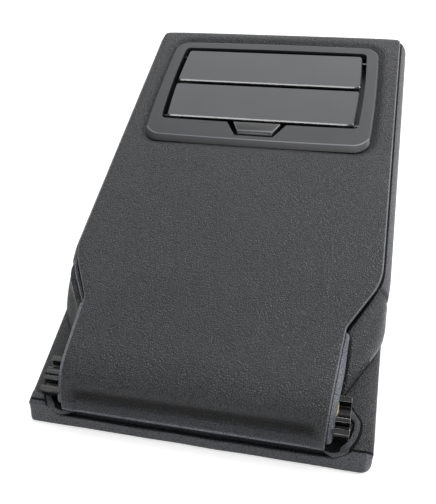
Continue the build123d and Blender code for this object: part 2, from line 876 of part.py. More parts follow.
# Upper foam, moulded on the carrier
with BuildPart() as upper_foam:
    add(upper_body(cover_thickness))
    with BuildSketch(Plane.XY.offset(base_height)):
        with Locations((0, (rear_end + apron_front) / 2)):
            Rectangle(overall_width, apron_front - rear_end)
    extrude(amount=carrier_thickness, mode=Mode.SUBTRACT)
    with BuildSketch(Plane.XY.offset(base_height)):
        add(well_plan(well_outer + pocket_gap))
    extrude(amount=carrier_thickness, mode=Mode.SUBTRACT)
    add(carrier.part, mode=Mode.SUBTRACT)
    add(module_space.part, mode=Mode.SUBTRACT)
    add(bracket_space.part, mode=Mode.SUBTRACT)
export_step(upper_foam.part, "parts/upper_foam.step")

# Upper cover, still in one piece, then cut along its seams
with BuildPart() as upper_cover:
    add(upper_body(0))
    add(upper_body(cover_thickness), mode=Mode.SUBTRACT)
    with BuildSketch(Plane.XY.offset(base_height)):
        with Locations((0, (rear_end + apron_front) / 2)):
            Rectangle(overall_width, apron_front - rear_end)
    extrude(amount=lip_level - base_height, mode=Mode.SUBTRACT)
    add(module_space.part, mode=Mode.SUBTRACT)
    add(bracket_space.part, mode=Mode.SUBTRACT)

with BuildPart() as top_region:
    with BuildSketch():
        add(
            upper_outline(
                seam_half_width, neck_rear, 0, 0, front_end, seam_step, 2 * neck_setback + seam_step
            )
        )
    extrude(amount=2 * cushion_height)

with BuildPart() as neck_region:
    with BuildSketch():
        with BuildLine():
            Polyline(
                (0, neck_corner_y),
                (neck_corner_half, neck_corner_y),
                (neck_corner_half + neck_flare / 2, crease_y),
                (half_width, crease_y - cover_thickness),
                (half_width, rear_end),
                (0, rear_end),
                close=True,
            )
        make_face()
    extrude(amount=2 * cushion_height)

with BuildPart() as side_region:
    with BuildSketch():
        with Locations((overall_width / 2, (rear_end + gusset_seam + front_end + 1) / 2)):
            Rectangle(overall_width, front_end + 1 - rear_end - gusset_seam)
    extrude(amount=2 * cushion_height)

with BuildPart() as right_region:
    with BuildSketch():
        with Locations((overall_width / 2, 0)):
            Rectangle(overall_width, overall_length + 2)
    extrude(amount=2 * cushion_height)

with BuildPart() as top_panel:
    add(upper_cover.part)
    add(top_region.part, mode=Mode.INTERSECT)
export_step(top_panel.part, "parts/top_panel.step")

with BuildPart() as right_side_panel:
    add(upper_cover.part)
    add(side_region.part, mode=Mode.INTERSECT)
    add(top_region.part, mode=Mode.SUBTRACT)
export_step(right_side_panel.part, "parts/right_side_panel.step")

with BuildPart() as left_side_panel:
    add(upper_cover.part)
    mirror(side_region.part, about=Plane.YZ, mode=Mode.INTERSECT)
    add(top_region.part, mode=Mode.SUBTRACT)
export_step(left_side_panel.part, "parts/left_side_panel.step")

with BuildPart() as right_neck_strip:
    add(upper_cover.part)
    add(neck_region.part, mode=Mode.INTERSECT)
    add(top_region.part, mode=Mode.SUBTRACT)
export_step(right_neck_strip.part, "parts/right_neck_strip.step")

with BuildPart() as left_neck_strip:
    add(upper_cover.part)
    mirror(neck_region.part, about=Plane.YZ, mode=Mode.INTERSECT)
    add(top_region.part, mode=Mode.SUBTRACT)
export_step(left_neck_strip.part, "parts/left_neck_strip.step")

with BuildPart() as right_gusset:
    add(upper_cover.part)
    add(right_region.part, mode=Mode.INTERSECT)
    add(neck_region.part, mode=Mode.SUBTRACT)
    add(side_region.part, mode=Mode.SUBTRACT)
    add(top_region.part, mode=Mode.SUBTRACT)
export_step(right_gusset.part, "parts/right_gusset.step")

with BuildPart() as left_gusset:
    add(upper_cover.part)
    mirror(right_region.part, about=Plane.YZ, mode=Mode.INTERSECT)
    mirror(neck_region.part, about=Plane.YZ, mode=Mode.SUBTRACT)
    mirror(side_region.part, about=Plane.YZ, mode=Mode.SUBTRACT)
    add(top_region.part, mode=Mode.SUBTRACT)
export_step(left_gusset.part, "parts/left_gusset.step")

# Apron round the end of the carrier, under the neck
with BuildPart() as apron:
    with BuildSketch(Plane.XY.offset(base_height)):
        with BuildLine():
            Polyline(
                (apron_half_width, apron_front),
                (apron_half_width, apron_rear),
                (-apron_half_width, apron_rear),
                (-apron_half_width, apron_front),
                close=True,
            )
        make_face()
    extrude(amount=carrier_thickness)
    rear_edges = apron.edges().filter_by(Axis.Z).group_by(Axis.Y)[0]
    fillet(rear_edges, apron_round)
    fillet(apron.faces().sort_by(Axis.Z)[-1].edges().group_by(Axis.Y)[0], carrier_thickness / 2)
    with BuildSketch(Plane.XY.offset(base_height)):
        add(
            upper_outline(
                half_width,
                neck_rear,
                shoulder_sweep,
                neck_flare,
                front_end,
                carrier_inset - fit_gap,
                0,
            )
        )
    extrude(amount=carrier_thickness, mode=Mode.SUBTRACT)
export_step(apron.part, "parts/apron.step")

# Lower cushion: board, foam and cover
with BuildPart() as base_board:
    with BuildSketch(Plane.XY.offset(base_height - cover_thickness - board_thickness)):
        with Locations((0, (rear_end + base_front) / 2)):
            RectangleRounded(
                2 * (base_half - board_inset),
                base_front - rear_end - 2 * board_inset,
                base_corner,
            )
    extrude(amount=board_thickness)
    add(well_space.part, mode=Mode.SUBTRACT)
export_step(base_board.part, "parts/base_board.step")

with BuildPart() as base_foam:
    add(base_body(cover_thickness))
    add(base_board.part, mode=Mode.SUBTRACT)
    add(well_space.part, mode=Mode.SUBTRACT)
export_step(base_foam.part, "parts/base_foam.step")

with BuildPart() as base_skin:
    add(base_body(0))
    add(base_body(cover_thickness), mode=Mode.SUBTRACT)
    add(well_space.part, mode=Mode.SUBTRACT)

with BuildPart() as hem_region:
    with BuildSketch():
        with Locations((0, (rear_end - 1 + hem_y) / 2)):
            Rectangle(2 * overall_width, hem_y - rear_end + 1)
    extrude(amount=2 * cushion_height)

with BuildPart() as base_top_region:
    with BuildSketch(Plane.XY.offset(base_height - base_top_round)):
        with Locations((0, (hem_y + base_front - base_top_round) / 2)):
            Rectangle(2 * (base_half - base_top_round), base_front - base_top_round - hem_y)
    extrude(amount=base_height)
    front_corners = base_top_region.edges().filter_by(Axis.Z).group_by(Axis.Y)[-1]
    fillet(front_corners, base_corner - base_top_round)

with BuildPart() as hem_strip:
    add(base_skin.part)
    add(hem_region.part, mode=Mode.INTERSECT)
export_step(hem_strip.part, "parts/hem_strip.step")

with BuildPart() as base_top_panel:
    add(base_skin.part)
    add(base_top_region.part, mode=Mode.INTERSECT)
export_step(base_top_panel.part, "parts/base_top_panel.step")

with BuildPart() as base_cover:
    add(base_skin.part)
    add(base_top_region.part, mode=Mode.SUBTRACT)
    add(hem_region.part, mode=Mode.SUBTRACT)
export_step(base_cover.part, "parts/base_cover.step")
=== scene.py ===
import math

import bpy
from bpy.props import FloatProperty, FloatVectorProperty, PointerProperty
from mathutils import Matrix, Vector, noise


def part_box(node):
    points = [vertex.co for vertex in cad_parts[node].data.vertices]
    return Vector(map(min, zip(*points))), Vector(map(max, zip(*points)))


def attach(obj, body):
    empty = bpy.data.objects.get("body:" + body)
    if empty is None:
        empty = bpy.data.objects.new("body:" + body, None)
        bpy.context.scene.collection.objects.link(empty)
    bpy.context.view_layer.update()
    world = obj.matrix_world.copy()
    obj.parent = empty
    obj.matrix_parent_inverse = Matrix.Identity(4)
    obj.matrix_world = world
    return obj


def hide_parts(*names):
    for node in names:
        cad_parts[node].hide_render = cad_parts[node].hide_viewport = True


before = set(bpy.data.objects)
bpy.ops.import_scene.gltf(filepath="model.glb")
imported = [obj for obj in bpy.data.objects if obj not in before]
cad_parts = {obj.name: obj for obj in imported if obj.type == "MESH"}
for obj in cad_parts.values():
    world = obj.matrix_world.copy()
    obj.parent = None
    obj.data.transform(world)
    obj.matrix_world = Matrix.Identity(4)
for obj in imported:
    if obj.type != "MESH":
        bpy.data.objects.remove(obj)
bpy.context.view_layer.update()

bl_info = {
    "name": "Rear seat armrest",
    "version": (1, 0, 0),
    "blender": (4, 5, 0),
    "location": "View3D > Sidebar > Armrest",
    "description": "Leather cushions, cup holder and hinge brackets over the armrest's frame",
    "category": "Object",
}

MM = 0.001
BODY = "armrest"

# Levels and ends taken from the frame
TOP_LOW, TOP_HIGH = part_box("top_panel")
BASE_LOW, BASE_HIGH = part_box("base_cover")
HEM_LOW, HEM_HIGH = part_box("hem_strip")
SIDE_LOW, SIDE_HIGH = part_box("right_side_panel")
APRON_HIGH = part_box("apron")[1]
BEZEL_LOW, BEZEL_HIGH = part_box("bezel")
FRONT_LID_LOW, FRONT_LID_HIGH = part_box("front_lid_cover")
REAR_LID_LOW, REAR_LID_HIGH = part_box("rear_lid_cover")
BUTTON_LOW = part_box("release_button")[0]
REAR_END = HEM_LOW.y
FRONT_END = SIDE_HIGH.y
HALF_WIDTH = SIDE_HIGH.x
CUSHION_TOP = TOP_HIGH.z
BASE_TOP = SIDE_LOW.z

# Steps of the outlines and of the cloth, and the angle up to which leather is shaded smooth
LINE_STEP = 1.5 * MM
CLOTH_FRAMES = 20
SOFT_ANGLE = 80


def length(name, description, millimetres):
    """A length property, its default given in millimetres."""
    return FloatProperty(
        name=name, description=description, default=millimetres * MM, unit="LENGTH", precision=5
    )


def colour(name, description, red, green, blue):
    """A colour property in linear values."""
    return FloatVectorProperty(
        name=name,
        description=description,
        default=(red, green, blue),
        subtype="COLOR",
        size=3,
        min=0.0,
        max=1.0,
    )


class ArmrestSizes(bpy.types.PropertyGroup):
    """Sizes of the soft and moulded pieces."""

    neck_half: length("Neck half width", "Middle line to the seam at the hinge end", 104)
    neck_taper: length("Neck taper", "How much wider the neck is at the shoulder", 5)
    neck_flare: length("Neck flare", "How far the neck's foot stands out past its seam", 6)
    neck_setback: length("Neck setback", "Rear end to the neck's rear face", 6)
    neck_round: length("Neck round", "Radius where the neck meets the shoulder", 12)
    shoulder_start: length("Shoulder start", "Rear end to the start of the shoulder", 142)
    shoulder_length: length("Shoulder length", "Length of the slanting shoulder seam", 47)
    shoulder_sweep: length("Shoulder sweep", "How far the shoulder's foot runs to the rear", 43)
    shoulder_round: length("Shoulder round", "Radius where the shoulder meets the side", 60)
    gusset_seam: length("Gusset seam", "Rear end to the seam between gusset and side", 136)
    seam_inset: length("Seam inset", "Widest line to the seam of the top panel", 6.5)
    front_roll: length("Front roll", "Radius of the rolled front edge", 12)
    crown: length("Crown", "Height of the padding in the middle of the top", 1.4)
    seam_roll: length("Seam roll", "Radius of the turned edge along the seams", 1.7)
    seam_depth: length("Seam depth", "Depth of the groove along the seams", 4.5)
    cover_wall: length("Cover wall", "Thickness of the leather with its backing", 1.4)
    side_bulge: length("Side bulge", "Fullness of the side panels", 2.6)
    gusset_bulge: length("Gusset bulge", "Fullness of the gussets", 6.0)
    neck_bulge: length("Neck bulge", "Fullness of the neck strips", 1.3)
    groove_depth: length("Groove depth", "Dip of the leather round the bezel", 4.2)
    groove_width: length("Groove width", "Width of that dip", 5.0)
    pebble: length("Pebble", "Width of one pebble of the leather grain", 1.6)


class ArmrestColours(bpy.types.PropertyGroup):
    """Colours of the finishes."""

    leather: colour("Leather", "Pebbles of the leather", 0.034, 0.0364, 0.0425)
    # Partly the leather's own darker grain, partly painted shade in the creases between the pebbles
    crease: colour("Leather creases", "Lines between the pebbles", 0.004, 0.0042, 0.0047)
    matte: colour("Matte plastic", "Grained moulded plastic", 0.030, 0.0310, 0.0340)
    gloss: colour("Gloss plastic", "Polished dark plastic", 0.058, 0.0595, 0.0640)
    button: colour("Button plastic", "Release button", 0.022, 0.0224, 0.0238)
    foam: colour("Foam", "Cut edge of the cushion foam", 0.84, 0.72, 0.36)
    rubber: colour("Rubber", "Cup mats", 0.014, 0.014, 0.015)
    bush: colour("Bush plastic", "Pivot bushes", 0.62, 0.60, 0.54)
    steel: colour("Steel", "Screws and springs", 0.55, 0.55, 0.56)
    pins: colour("Blackened steel", "Hinge pins of the lids", 0.10, 0.10, 0.105)
    # Painted highlight on the brackets' edges and upward faces
    worn: colour("Painted edge highlights", "Edges of the brackets", 0.72, 0.72, 0.73)
    floor: colour("Floor", "Studio floor", 0.88, 0.88, 0.88)


# Working on objects


def activate(obj):
    """Make one object the only selected and active one."""
    bpy.ops.object.select_all(action="DESELECT")
    obj.hide_set(False)
    obj.select_set(True)
    bpy.context.view_layer.objects.active = obj


def apply_modifier(obj, kind, **settings):
    """Add a modifier, set it and apply it."""
    activate(obj)
    modifier = obj.modifiers.new(kind.title(), kind)
    for key, value in settings.items():
        setattr(modifier, key, value)
    bpy.ops.object.modifier_apply(modifier=modifier.name)


def edit(obj, *steps):
    """Run edit mode steps on the whole mesh."""
    activate(obj)
    bpy.ops.object.mode_set(mode="EDIT")
    bpy.ops.mesh.select_mode(type="VERT")
    bpy.ops.mesh.select_all(action="SELECT")
    for step in steps:
        step()
    bpy.ops.object.mode_set(mode="OBJECT")


def merge(obj):
    """Merge doubled points and turn the faces outwards."""
    edit(
        obj,
        lambda: bpy.ops.mesh.remove_doubles(threshold=0.01 * MM),
        lambda: bpy.ops.mesh.normals_make_consistent(inside=False),
    )


def smooth(obj, degrees=40):
    """Smooth shading that breaks at sharp edges."""
    activate(obj)
    bpy.ops.object.shade_smooth_by_angle(angle=math.radians(degrees))


def grid(name, columns, rows, place):
    """A grid whose points are placed by column and row number."""
    bpy.ops.object.select_all(action="DESELECT")
    bpy.ops.mesh.primitive_grid_add(x_subdivisions=columns, y_subdivisions=rows, size=1)
    obj = bpy.context.object
    obj.name = name
    obj.data.name = name
    for vertex in obj.data.vertices:
        column = round((vertex.co.x + 0.5) * columns)
        row = round((vertex.co.y + 0.5) * rows)
        vertex.co = place(column, row)
    return obj


def face_towards(obj, direction):
    """Turn the faces of an open sheet so that they look the given way on average."""
    total = Vector((0, 0, 0))
    for polygon in obj.data.polygons:
        total += polygon.normal * polygon.area
    if total.dot(Vector(direction)) < 0:
        edit(obj, lambda: bpy.ops.mesh.flip_normals())


def loft(name, rings):
    """A closed body through rings of as many points each, capped at both ends."""
    count = len(rings[0])
    obj = grid(name, count, len(rings) - 1, lambda c, r: rings[r][c % count])
    edit(
        obj,
        lambda: bpy.ops.mesh.remove_doubles(threshold=0.001 * MM),
        lambda: bpy.ops.mesh.select_all(action="SELECT"),
        lambda: bpy.ops.mesh.fill_holes(sides=0),
        lambda: bpy.ops.mesh.select_all(action="SELECT"),
        lambda: bpy.ops.mesh.normals_make_consistent(inside=False),
    )
    return obj


def boolean(obj, tool, operation):
    """Join or cut with another body, which is used up."""
    apply_modifier(obj, "BOOLEAN", object=tool, operation=operation, solver="EXACT")
    bpy.data.objects.remove(tool)


def bevel(obj, width, segments=3, degrees=30, material=-1):
    """Round the edges sharper than the given angle, in a material of their own if one is given."""
    apply_modifier(
        obj,
        "BEVEL",
        width=width,
        segments=segments,
        limit_method="ANGLE",
        angle_limit=math.radians(degrees),
        material=material,
        use_clamp_overlap=True,
    )


def dress(obj, *finishes):
    """Give a piece its materials, in the order of their numbers."""
    obj.data.materials.clear()
    for finish in finishes:
        obj.data.materials.append(bpy.data.materials[finish])


def finish_piece(obj, slot, body, *nodes):
    """Give a dressed piece its body and hide the nodes it stands for; the slot is not used."""
    if not obj.data.polygons:
        raise RuntimeError(f"{obj.name} has no faces")
    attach(obj, body)
    if nodes:
        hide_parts(*nodes)


def inflate(obj, held, pressure, cap):
    """Swell a sheet or a closed pad by cloth pressure, its held points kept in place."""
    activate(obj)
    rest = [vertex.co.copy() for vertex in obj.data.vertices]
    group = obj.vertex_groups.new(name="held")
    if held:
        group.add(held, 1.0, "REPLACE")
    cloth = obj.modifiers.new("Cloth", "CLOTH")
    cloth.settings.quality = 5
    cloth.settings.mass = 0.2
    cloth.settings.use_pressure = True
    cloth.settings.uniform_pressure_force = pressure
    cloth.settings.effector_weights.gravity = 0
    cloth.collision_settings.use_collision = False
    if held:
        cloth.settings.vertex_group_mass = "held"
    for step in range(1, CLOTH_FRAMES + 1):
        bpy.context.scene.frame_set(step)
    bpy.ops.object.modifier_apply(modifier=cloth.name)
    for vertex, start in zip(obj.data.vertices, rest):
        move = vertex.co - start
        if move.length > cap:
            vertex.co = start + move * (cap / move.length)
    bpy.context.scene.frame_set(1)
    obj.vertex_groups.clear()


# Outlines


def blend(a, b, t):
    """Value between two values or points."""
    return a + (b - a) * t


def ease(t):
    """Smooth step from 0 to 1."""
    t = min(max(t, 0.0), 1.0)
    return t * t * (3 - 2 * t)


def rounded_path(corners, radii, step):
    """Points along straight runs joined by tangent arcs."""
    points = [Vector(corners[0])]
    for before, corner, after, radius in zip(corners, corners[1:], corners[2:], radii):
        back = (Vector(before) - Vector(corner)).normalized()
        ahead = (Vector(after) - Vector(corner)).normalized()
        opening = back.angle(ahead)
        run = radius / math.tan(opening / 2)
        centre = Vector(corner) + (back + ahead).normalized() * (radius / math.sin(opening / 2))
        first = Vector(corner) + back * run - centre
        turn = math.pi - opening
        side = 1 if back.y * ahead.x - back.x * ahead.y > 0 else -1
        count = max(3, math.ceil(radius * turn / step))
        for index in range(count + 1):
            angle = side * turn * index / count
            points.append(centre + Matrix.Rotation(angle, 2) @ first)
    points.append(Vector(corners[-1]))
    return points


def resample(points, count):
    """As many even intervals along a line of points."""
    lengths = [0.0]
    for a, b in zip(points, points[1:]):
        lengths.append(lengths[-1] + (b - a).length)
    result = []
    place = 0
    for index in range(count + 1):
        target = lengths[-1] * index / count
        while place < len(points) - 2 and lengths[place + 1] < target:
            place += 1
        span = max(lengths[place + 1] - lengths[place], 1e-9)
        result.append(blend(points[place], points[place + 1], (target - lengths[place]) / span))
    return result


def between(points, low, high):
    """The stretch of a line of points between two lengthwise stations."""
    def at(y):
        for a, b in zip(points, points[1:]):
            if a.y <= y <= b.y:
                return blend(a, b, (y - a.y) / max(b.y - a.y, 1e-9))
        return points[0] if y < points[0].y else points[-1]

    inner = [p for p in points if low < p.y < high]
    return [at(low), *inner, at(high)]


def shoulder_corner(sizes):
    """Lengthwise station where the neck meets the shoulder."""
    return REAR_END + sizes.shoulder_start - sizes.shoulder_length


def seam_line(sizes):
    """Right hand seam of the top panel, from the hinge end to the front."""
    edge = HALF_WIDTH - sizes.seam_inset
    corners = [
        (sizes.neck_half, REAR_END + sizes.neck_setback),
        (sizes.neck_half + sizes.neck_taper, shoulder_corner(sizes)),
        (edge, REAR_END + sizes.shoulder_start),
        (edge, FRONT_END),
    ]
    return rounded_path(corners, (sizes.neck_round, sizes.shoulder_round), LINE_STEP)


def foot_line(sizes):
    """Right hand foot of the upper cushion on the lower one."""
    corner_y = shoulder_corner(sizes) - sizes.shoulder_sweep
    corners = [
        (sizes.neck_half + sizes.neck_flare, REAR_END + sizes.neck_setback),
        (sizes.neck_half + sizes.neck_taper + sizes.neck_flare / 2, corner_y),
        (HALF_WIDTH, REAR_END + sizes.shoulder_start - sizes.shoulder_sweep),
        (HALF_WIDTH, FRONT_END),
    ]
    return rounded_path(corners, (sizes.neck_round, sizes.shoulder_round), LINE_STEP)


def rounded_box(half, low, high, corner, steps=6):
    """Outline of a box with rounded corners, middle line at x = 0."""
    points = []
    middles = [(half - corner, high - corner), (corner - half, high - corner)]
    middles += [(corner - half, low + corner), (half - corner, low + corner)]
    for quarter, (x, y) in enumerate(middles):
        for index in range(steps + 1):
            angle = math.pi / 2 * (quarter + index / steps)
            points.append(Vector((x + corner * math.cos(angle), y + corner * math.sin(angle))))
    return points


def fill_runs(points, step):
    """Divide the long runs of a closed outline."""
    result = []
    for a, b in zip(points, points[1:] + points[:1]):
        count = max(1, math.ceil((b - a).length / step))
        result += [blend(a, b, index / count) for index in range(count)]
    return result


def bowed(points, half, low, high, sag, end_sag):
    """Bow the four sides of an outline outwards from its corners."""
    middle = (low + high) / 2
    reach = (high - low) / 2
    result = []
    for point in points:
        along = (point.y - middle) / reach
        across = point.x / half
        x = point.x - sag * across * along * along
        y = point.y - end_sag * along * across * across
        result.append(Vector((x, y)))
    return result


def lift(points, z):
    """Flat outline at a level."""
    return [Vector((p.x, p.y, z)) for p in points]


# Bow of the long and short sides of the bezel, and its corners
SIDE_SAG = 2 * MM
BEZEL_SAG = 1.5 * MM
BEZEL_CORNER = 15 * MM
OPENING_CORNER = 5 * MM


def bezel_distance(x, y):
    """Distance outside the bezel's outline, negative inside."""
    middle = (BEZEL_LOW.y + BEZEL_HIGH.y) / 2
    reach = (BEZEL_HIGH.y - BEZEL_LOW.y) / 2
    along = (y - middle) / reach
    across = x / BEZEL_HIGH.x
    over_x = abs(x) - (BEZEL_HIGH.x - SIDE_SAG * min(along * along, 1)) + BEZEL_CORNER
    over_y = abs(y - middle) - (reach - BEZEL_SAG * min(across * across, 1)) + BEZEL_CORNER
    outside = math.hypot(max(over_x, 0), max(over_y, 0))
    return outside + min(max(over_x, over_y), 0) - BEZEL_CORNER


# Materials


def new_group(name, inputs, outputs):
    """An empty shader node group with named sockets."""
    tree = bpy.data.node_groups.new(name, "ShaderNodeTree")
    for title, kind, default in inputs:
        socket = tree.interface.new_socket(title, in_out="INPUT", socket_type=kind)
        socket.default_value = default
    for title, kind in outputs:
        tree.interface.new_socket(title, in_out="OUTPUT", socket_type=kind)
    return tree, tree.nodes.new("NodeGroupInput"), tree.nodes.new("NodeGroupOutput")


def node(tree, kind, **settings):
    """A node with its settings and its input defaults, given by socket name."""
    made = tree.nodes.new("ShaderNode" + kind)
    for key, value in settings.items():
        if hasattr(made, key):
            setattr(made, key, value)
        else:
            made.inputs[key.replace("_", " ")].default_value = value
    return made


def math_node(tree, operation, first, second):
    """A maths node fed by sockets or numbers."""
    made = tree.nodes.new("ShaderNodeMath")
    made.operation = operation
    for socket, value in zip(made.inputs, (first, second)):
        if isinstance(value, (int, float)):
            socket.default_value = value
        else:
            tree.links.new(value, socket)
    return made.outputs[0]


def leather_grain_group():
    """Pebble grain: height, crest mask and a slow change of tone."""
    tree, entry, leave = new_group(
        "Leather grain",
        [("Scale", "NodeSocketFloat", 600.0), ("Softness", "NodeSocketFloat", 0.35)],
        [("Height", "NodeSocketFloat"), ("Crest", "NodeSocketFloat"), ("Tone", "NodeSocketFloat")],
    )
    link = tree.links.new
    place = tree.nodes.new("ShaderNodeTexCoord").outputs["Object"]
    wander = node(tree, "TexNoise", Scale=160.0, Detail=2.0)
    link(place, wander.inputs["Vector"])
    shift = node(tree, "VectorMath", operation="SCALE")
    shift.inputs["Scale"].default_value = 0.0012
    link(wander.outputs["Color"], shift.inputs[0])
    moved = node(tree, "VectorMath", operation="ADD")
    link(place, moved.inputs[0])
    link(shift.outputs[0], moved.inputs[1])
    pebbles = node(tree, "TexVoronoi", feature="SMOOTH_F1", Smoothness=0.35)
    link(moved.outputs[0], pebbles.inputs["Vector"])
    link(entry.outputs["Scale"], pebbles.inputs["Scale"])
    lines = node(tree, "TexVoronoi", feature="DISTANCE_TO_EDGE")
    link(moved.outputs[0], lines.inputs["Vector"])
    link(entry.outputs["Scale"], lines.inputs["Scale"])
    crest = node(tree, "MapRange", interpolation_type="SMOOTHSTEP")
    crest.inputs["From Min"].default_value = 0.02
    link(entry.outputs["Softness"], crest.inputs["From Max"])
    link(lines.outputs["Distance"], crest.inputs["Value"])
    dome = math_node(tree, "SUBTRACT", 1.0, pebbles.outputs["Distance"])
    rough = node(tree, "TexNoise", Scale=2400.0, Detail=2.0)
    link(place, rough.inputs["Vector"])
    body = math_node(tree, "MULTIPLY", dome, crest.outputs["Result"])
    fine = math_node(tree, "MULTIPLY", rough.outputs["Fac"], 0.12)
    link(math_node(tree, "ADD", body, fine), leave.inputs["Height"])
    link(crest.outputs["Result"], leave.inputs["Crest"])
    slow = node(tree, "TexNoise", Scale=14.0, Detail=3.0)
    link(place, slow.inputs["Vector"])
    link(slow.outputs["Fac"], leave.inputs["Tone"])


def moulded_grain_group():
    """Spark eroded mould grain with faint scuffs: height, tone and scuff mask."""
    tree, entry, leave = new_group(
        "Moulded grain",
        [("Scale", "NodeSocketFloat", 1500.0)],
        [("Height", "NodeSocketFloat"), ("Tone", "NodeSocketFloat"), ("Scuff", "NodeSocketFloat")],
    )
    link = tree.links.new
    place = tree.nodes.new("ShaderNodeTexCoord").outputs["Object"]
    fine = node(tree, "TexNoise", Detail=3.0, Roughness=0.65)
    link(place, fine.inputs["Vector"])
    link(entry.outputs["Scale"], fine.inputs["Scale"])
    link(fine.outputs["Fac"], leave.inputs["Height"])
    slow = node(tree, "TexNoise", Scale=20.0, Detail=2.0)
    link(place, slow.inputs["Vector"])
    link(slow.outputs["Fac"], leave.inputs["Tone"])
    stretch = node(tree, "Mapping")
    stretch.inputs["Scale"].default_value = (400.0, 30.0, 60.0)
    link(place, stretch.inputs["Vector"])
    streak = node(tree, "TexNoise", Scale=1.0, Detail=2.0)
    link(stretch.outputs[0], streak.inputs["Vector"])
    cut = node(tree, "MapRange", interpolation_type="SMOOTHSTEP")
    cut.inputs["From Min"].default_value = 0.62
    cut.inputs["From Max"].default_value = 0.8
    link(streak.outputs["Fac"], cut.inputs["Value"])
    link(cut.outputs["Result"], leave.inputs["Scuff"])


def group_node(tree, name, **values):
    """A placed node group with its own input values."""
    made = tree.nodes.new("ShaderNodeGroup")
    made.node_tree = bpy.data.node_groups[name]
    for key, value in values.items():
        made.inputs[key].default_value = value
    return made


def new_material(name):
    """A material with its Principled shader."""
    material = bpy.data.materials.new(name)
    material.use_nodes = True
    return material, material.node_tree, material.node_tree.nodes["Principled BSDF"]


def colour_mix(tree, first, second, factor):
    """Mix of two colours by a mask."""
    mix = tree.nodes.new("ShaderNodeMix")
    mix.data_type = "RGBA"
    mix.inputs[6].default_value = (*first, 1.0)
    mix.inputs[7].default_value = (*second, 1.0)
    tree.links.new(factor, mix.inputs[0])
    return mix.outputs[2]


def multiply(tree, first, second):
    """Product of a colour and another colour or level."""
    mix = tree.nodes.new("ShaderNodeMix")
    mix.data_type = "RGBA"
    mix.blend_type = "MULTIPLY"
    mix.inputs[0].default_value = 1.0
    tree.links.new(first, mix.inputs[6])
    tree.links.new(second, mix.inputs[7])
    return mix.outputs[2]


def range_node(tree, value, low, high, start=0.0, stop=1.0):
    """Spread a stretch of a value over another range."""
    made = tree.nodes.new("ShaderNodeMapRange")
    levels = {"From Min": start, "From Max": stop, "To Min": low, "To Max": high}
    for title, level in levels.items():
        made.inputs[title].default_value = level
    tree.links.new(value, made.inputs["Value"])
    return made.outputs["Result"]


def add_bump(tree, shader, height, strength, distance):
    """Bump from a height into the shader's normal."""
    bump = tree.nodes.new("ShaderNodeBump")
    bump.inputs["Strength"].default_value = strength
    bump.inputs["Distance"].default_value = distance
    tree.links.new(height, bump.inputs["Height"])
    tree.links.new(bump.outputs["Normal"], shader.inputs["Normal"])


def leather(name, colours, pebble, shade, low_rough, high_rough, strength):
    """Pebbled leather of a given pebble size, tone and sheen."""
    _, tree, shader = new_material(name)
    grain = group_node(tree, "Leather grain", Scale=1 / pebble, Softness=0.22)
    # Crests lighter than creases: the grain's own tone, with painted shade in the creases
    crest = [value * shade for value in colours.leather]
    crease = [value * shade for value in colours.crease]
    base = colour_mix(tree, crease, crest, grain.outputs["Crest"])
    tone = range_node(tree, grain.outputs["Tone"], 0.75, 1.25)
    tree.links.new(multiply(tree, base, tone), shader.inputs["Base Color"])
    rough = range_node(tree, grain.outputs["Crest"], high_rough, low_rough)
    tree.links.new(rough, shader.inputs["Roughness"])
    add_bump(tree, shader, grain.outputs["Height"], strength, 0.8 * MM)


def painted_shade_below(tree, tone, crest):
    """Painted shade: a colour that goes dark over the last millimetres below a level."""
    parts = tree.nodes.new("ShaderNodeSeparateXYZ")
    tree.links.new(tree.nodes.new("ShaderNodeTexCoord").outputs["Object"], parts.inputs[0])
    depth = range_node(tree, parts.outputs["Z"], 0.08, 1.0, crest - 3.6 * MM, crest - 1.2 * MM)
    return multiply(tree, tone, depth)


def moulded(name, tint, low_rough, high_rough, scale, strength, crest):
    """Moulded plastic with mould grain and faint scuffs, with painted shade in the depth below a
    crest.
    """
    _, tree, shader = new_material(name)
    grain = group_node(tree, "Moulded grain", Scale=scale)
    dark = [value * 0.85 for value in tint]
    light = [min(value * 1.15 + 0.002, 1) for value in tint]
    tone = colour_mix(tree, dark, light, grain.outputs["Tone"])
    # Painted shade below the crest level
    if crest:
        tone = painted_shade_below(tree, tone, crest)
    tree.links.new(tone, shader.inputs["Base Color"])
    rough = range_node(tree, grain.outputs["Scuff"], low_rough, high_rough)
    tree.links.new(rough, shader.inputs["Roughness"])
    add_bump(tree, shader, grain.outputs["Height"], strength, 0.05 * MM)


def foam(name, tint):
    """Open cell foam."""
    _, tree, shader = new_material(name)
    grain = group_node(tree, "Leather grain", Scale=1100.0, Softness=0.3)
    dark = [value * 0.45 for value in tint]
    tone = colour_mix(tree, dark, tint, grain.outputs["Crest"])
    tree.links.new(tone, shader.inputs["Base Color"])
    tree.links.new(range_node(tree, grain.outputs["Tone"], 0.8, 1.0), shader.inputs["Roughness"])
    add_bump(tree, shader, grain.outputs["Height"], 0.8, 0.4 * MM)


def metal(name, tint):
    """Drawn and plated steel."""
    _, tree, shader = new_material(name)
    grain = group_node(tree, "Moulded grain", Scale=2200.0)
    dark = [value * 0.7 for value in tint]
    tone = colour_mix(tree, dark, tint, grain.outputs["Tone"])
    tree.links.new(tone, shader.inputs["Base Color"])
    tree.links.new(range_node(tree, grain.outputs["Scuff"], 0.28, 0.5), shader.inputs["Roughness"])
    shader.inputs["Metallic"].default_value = 1.0
    add_bump(tree, shader, grain.outputs["Height"], 0.15, 0.02 * MM)
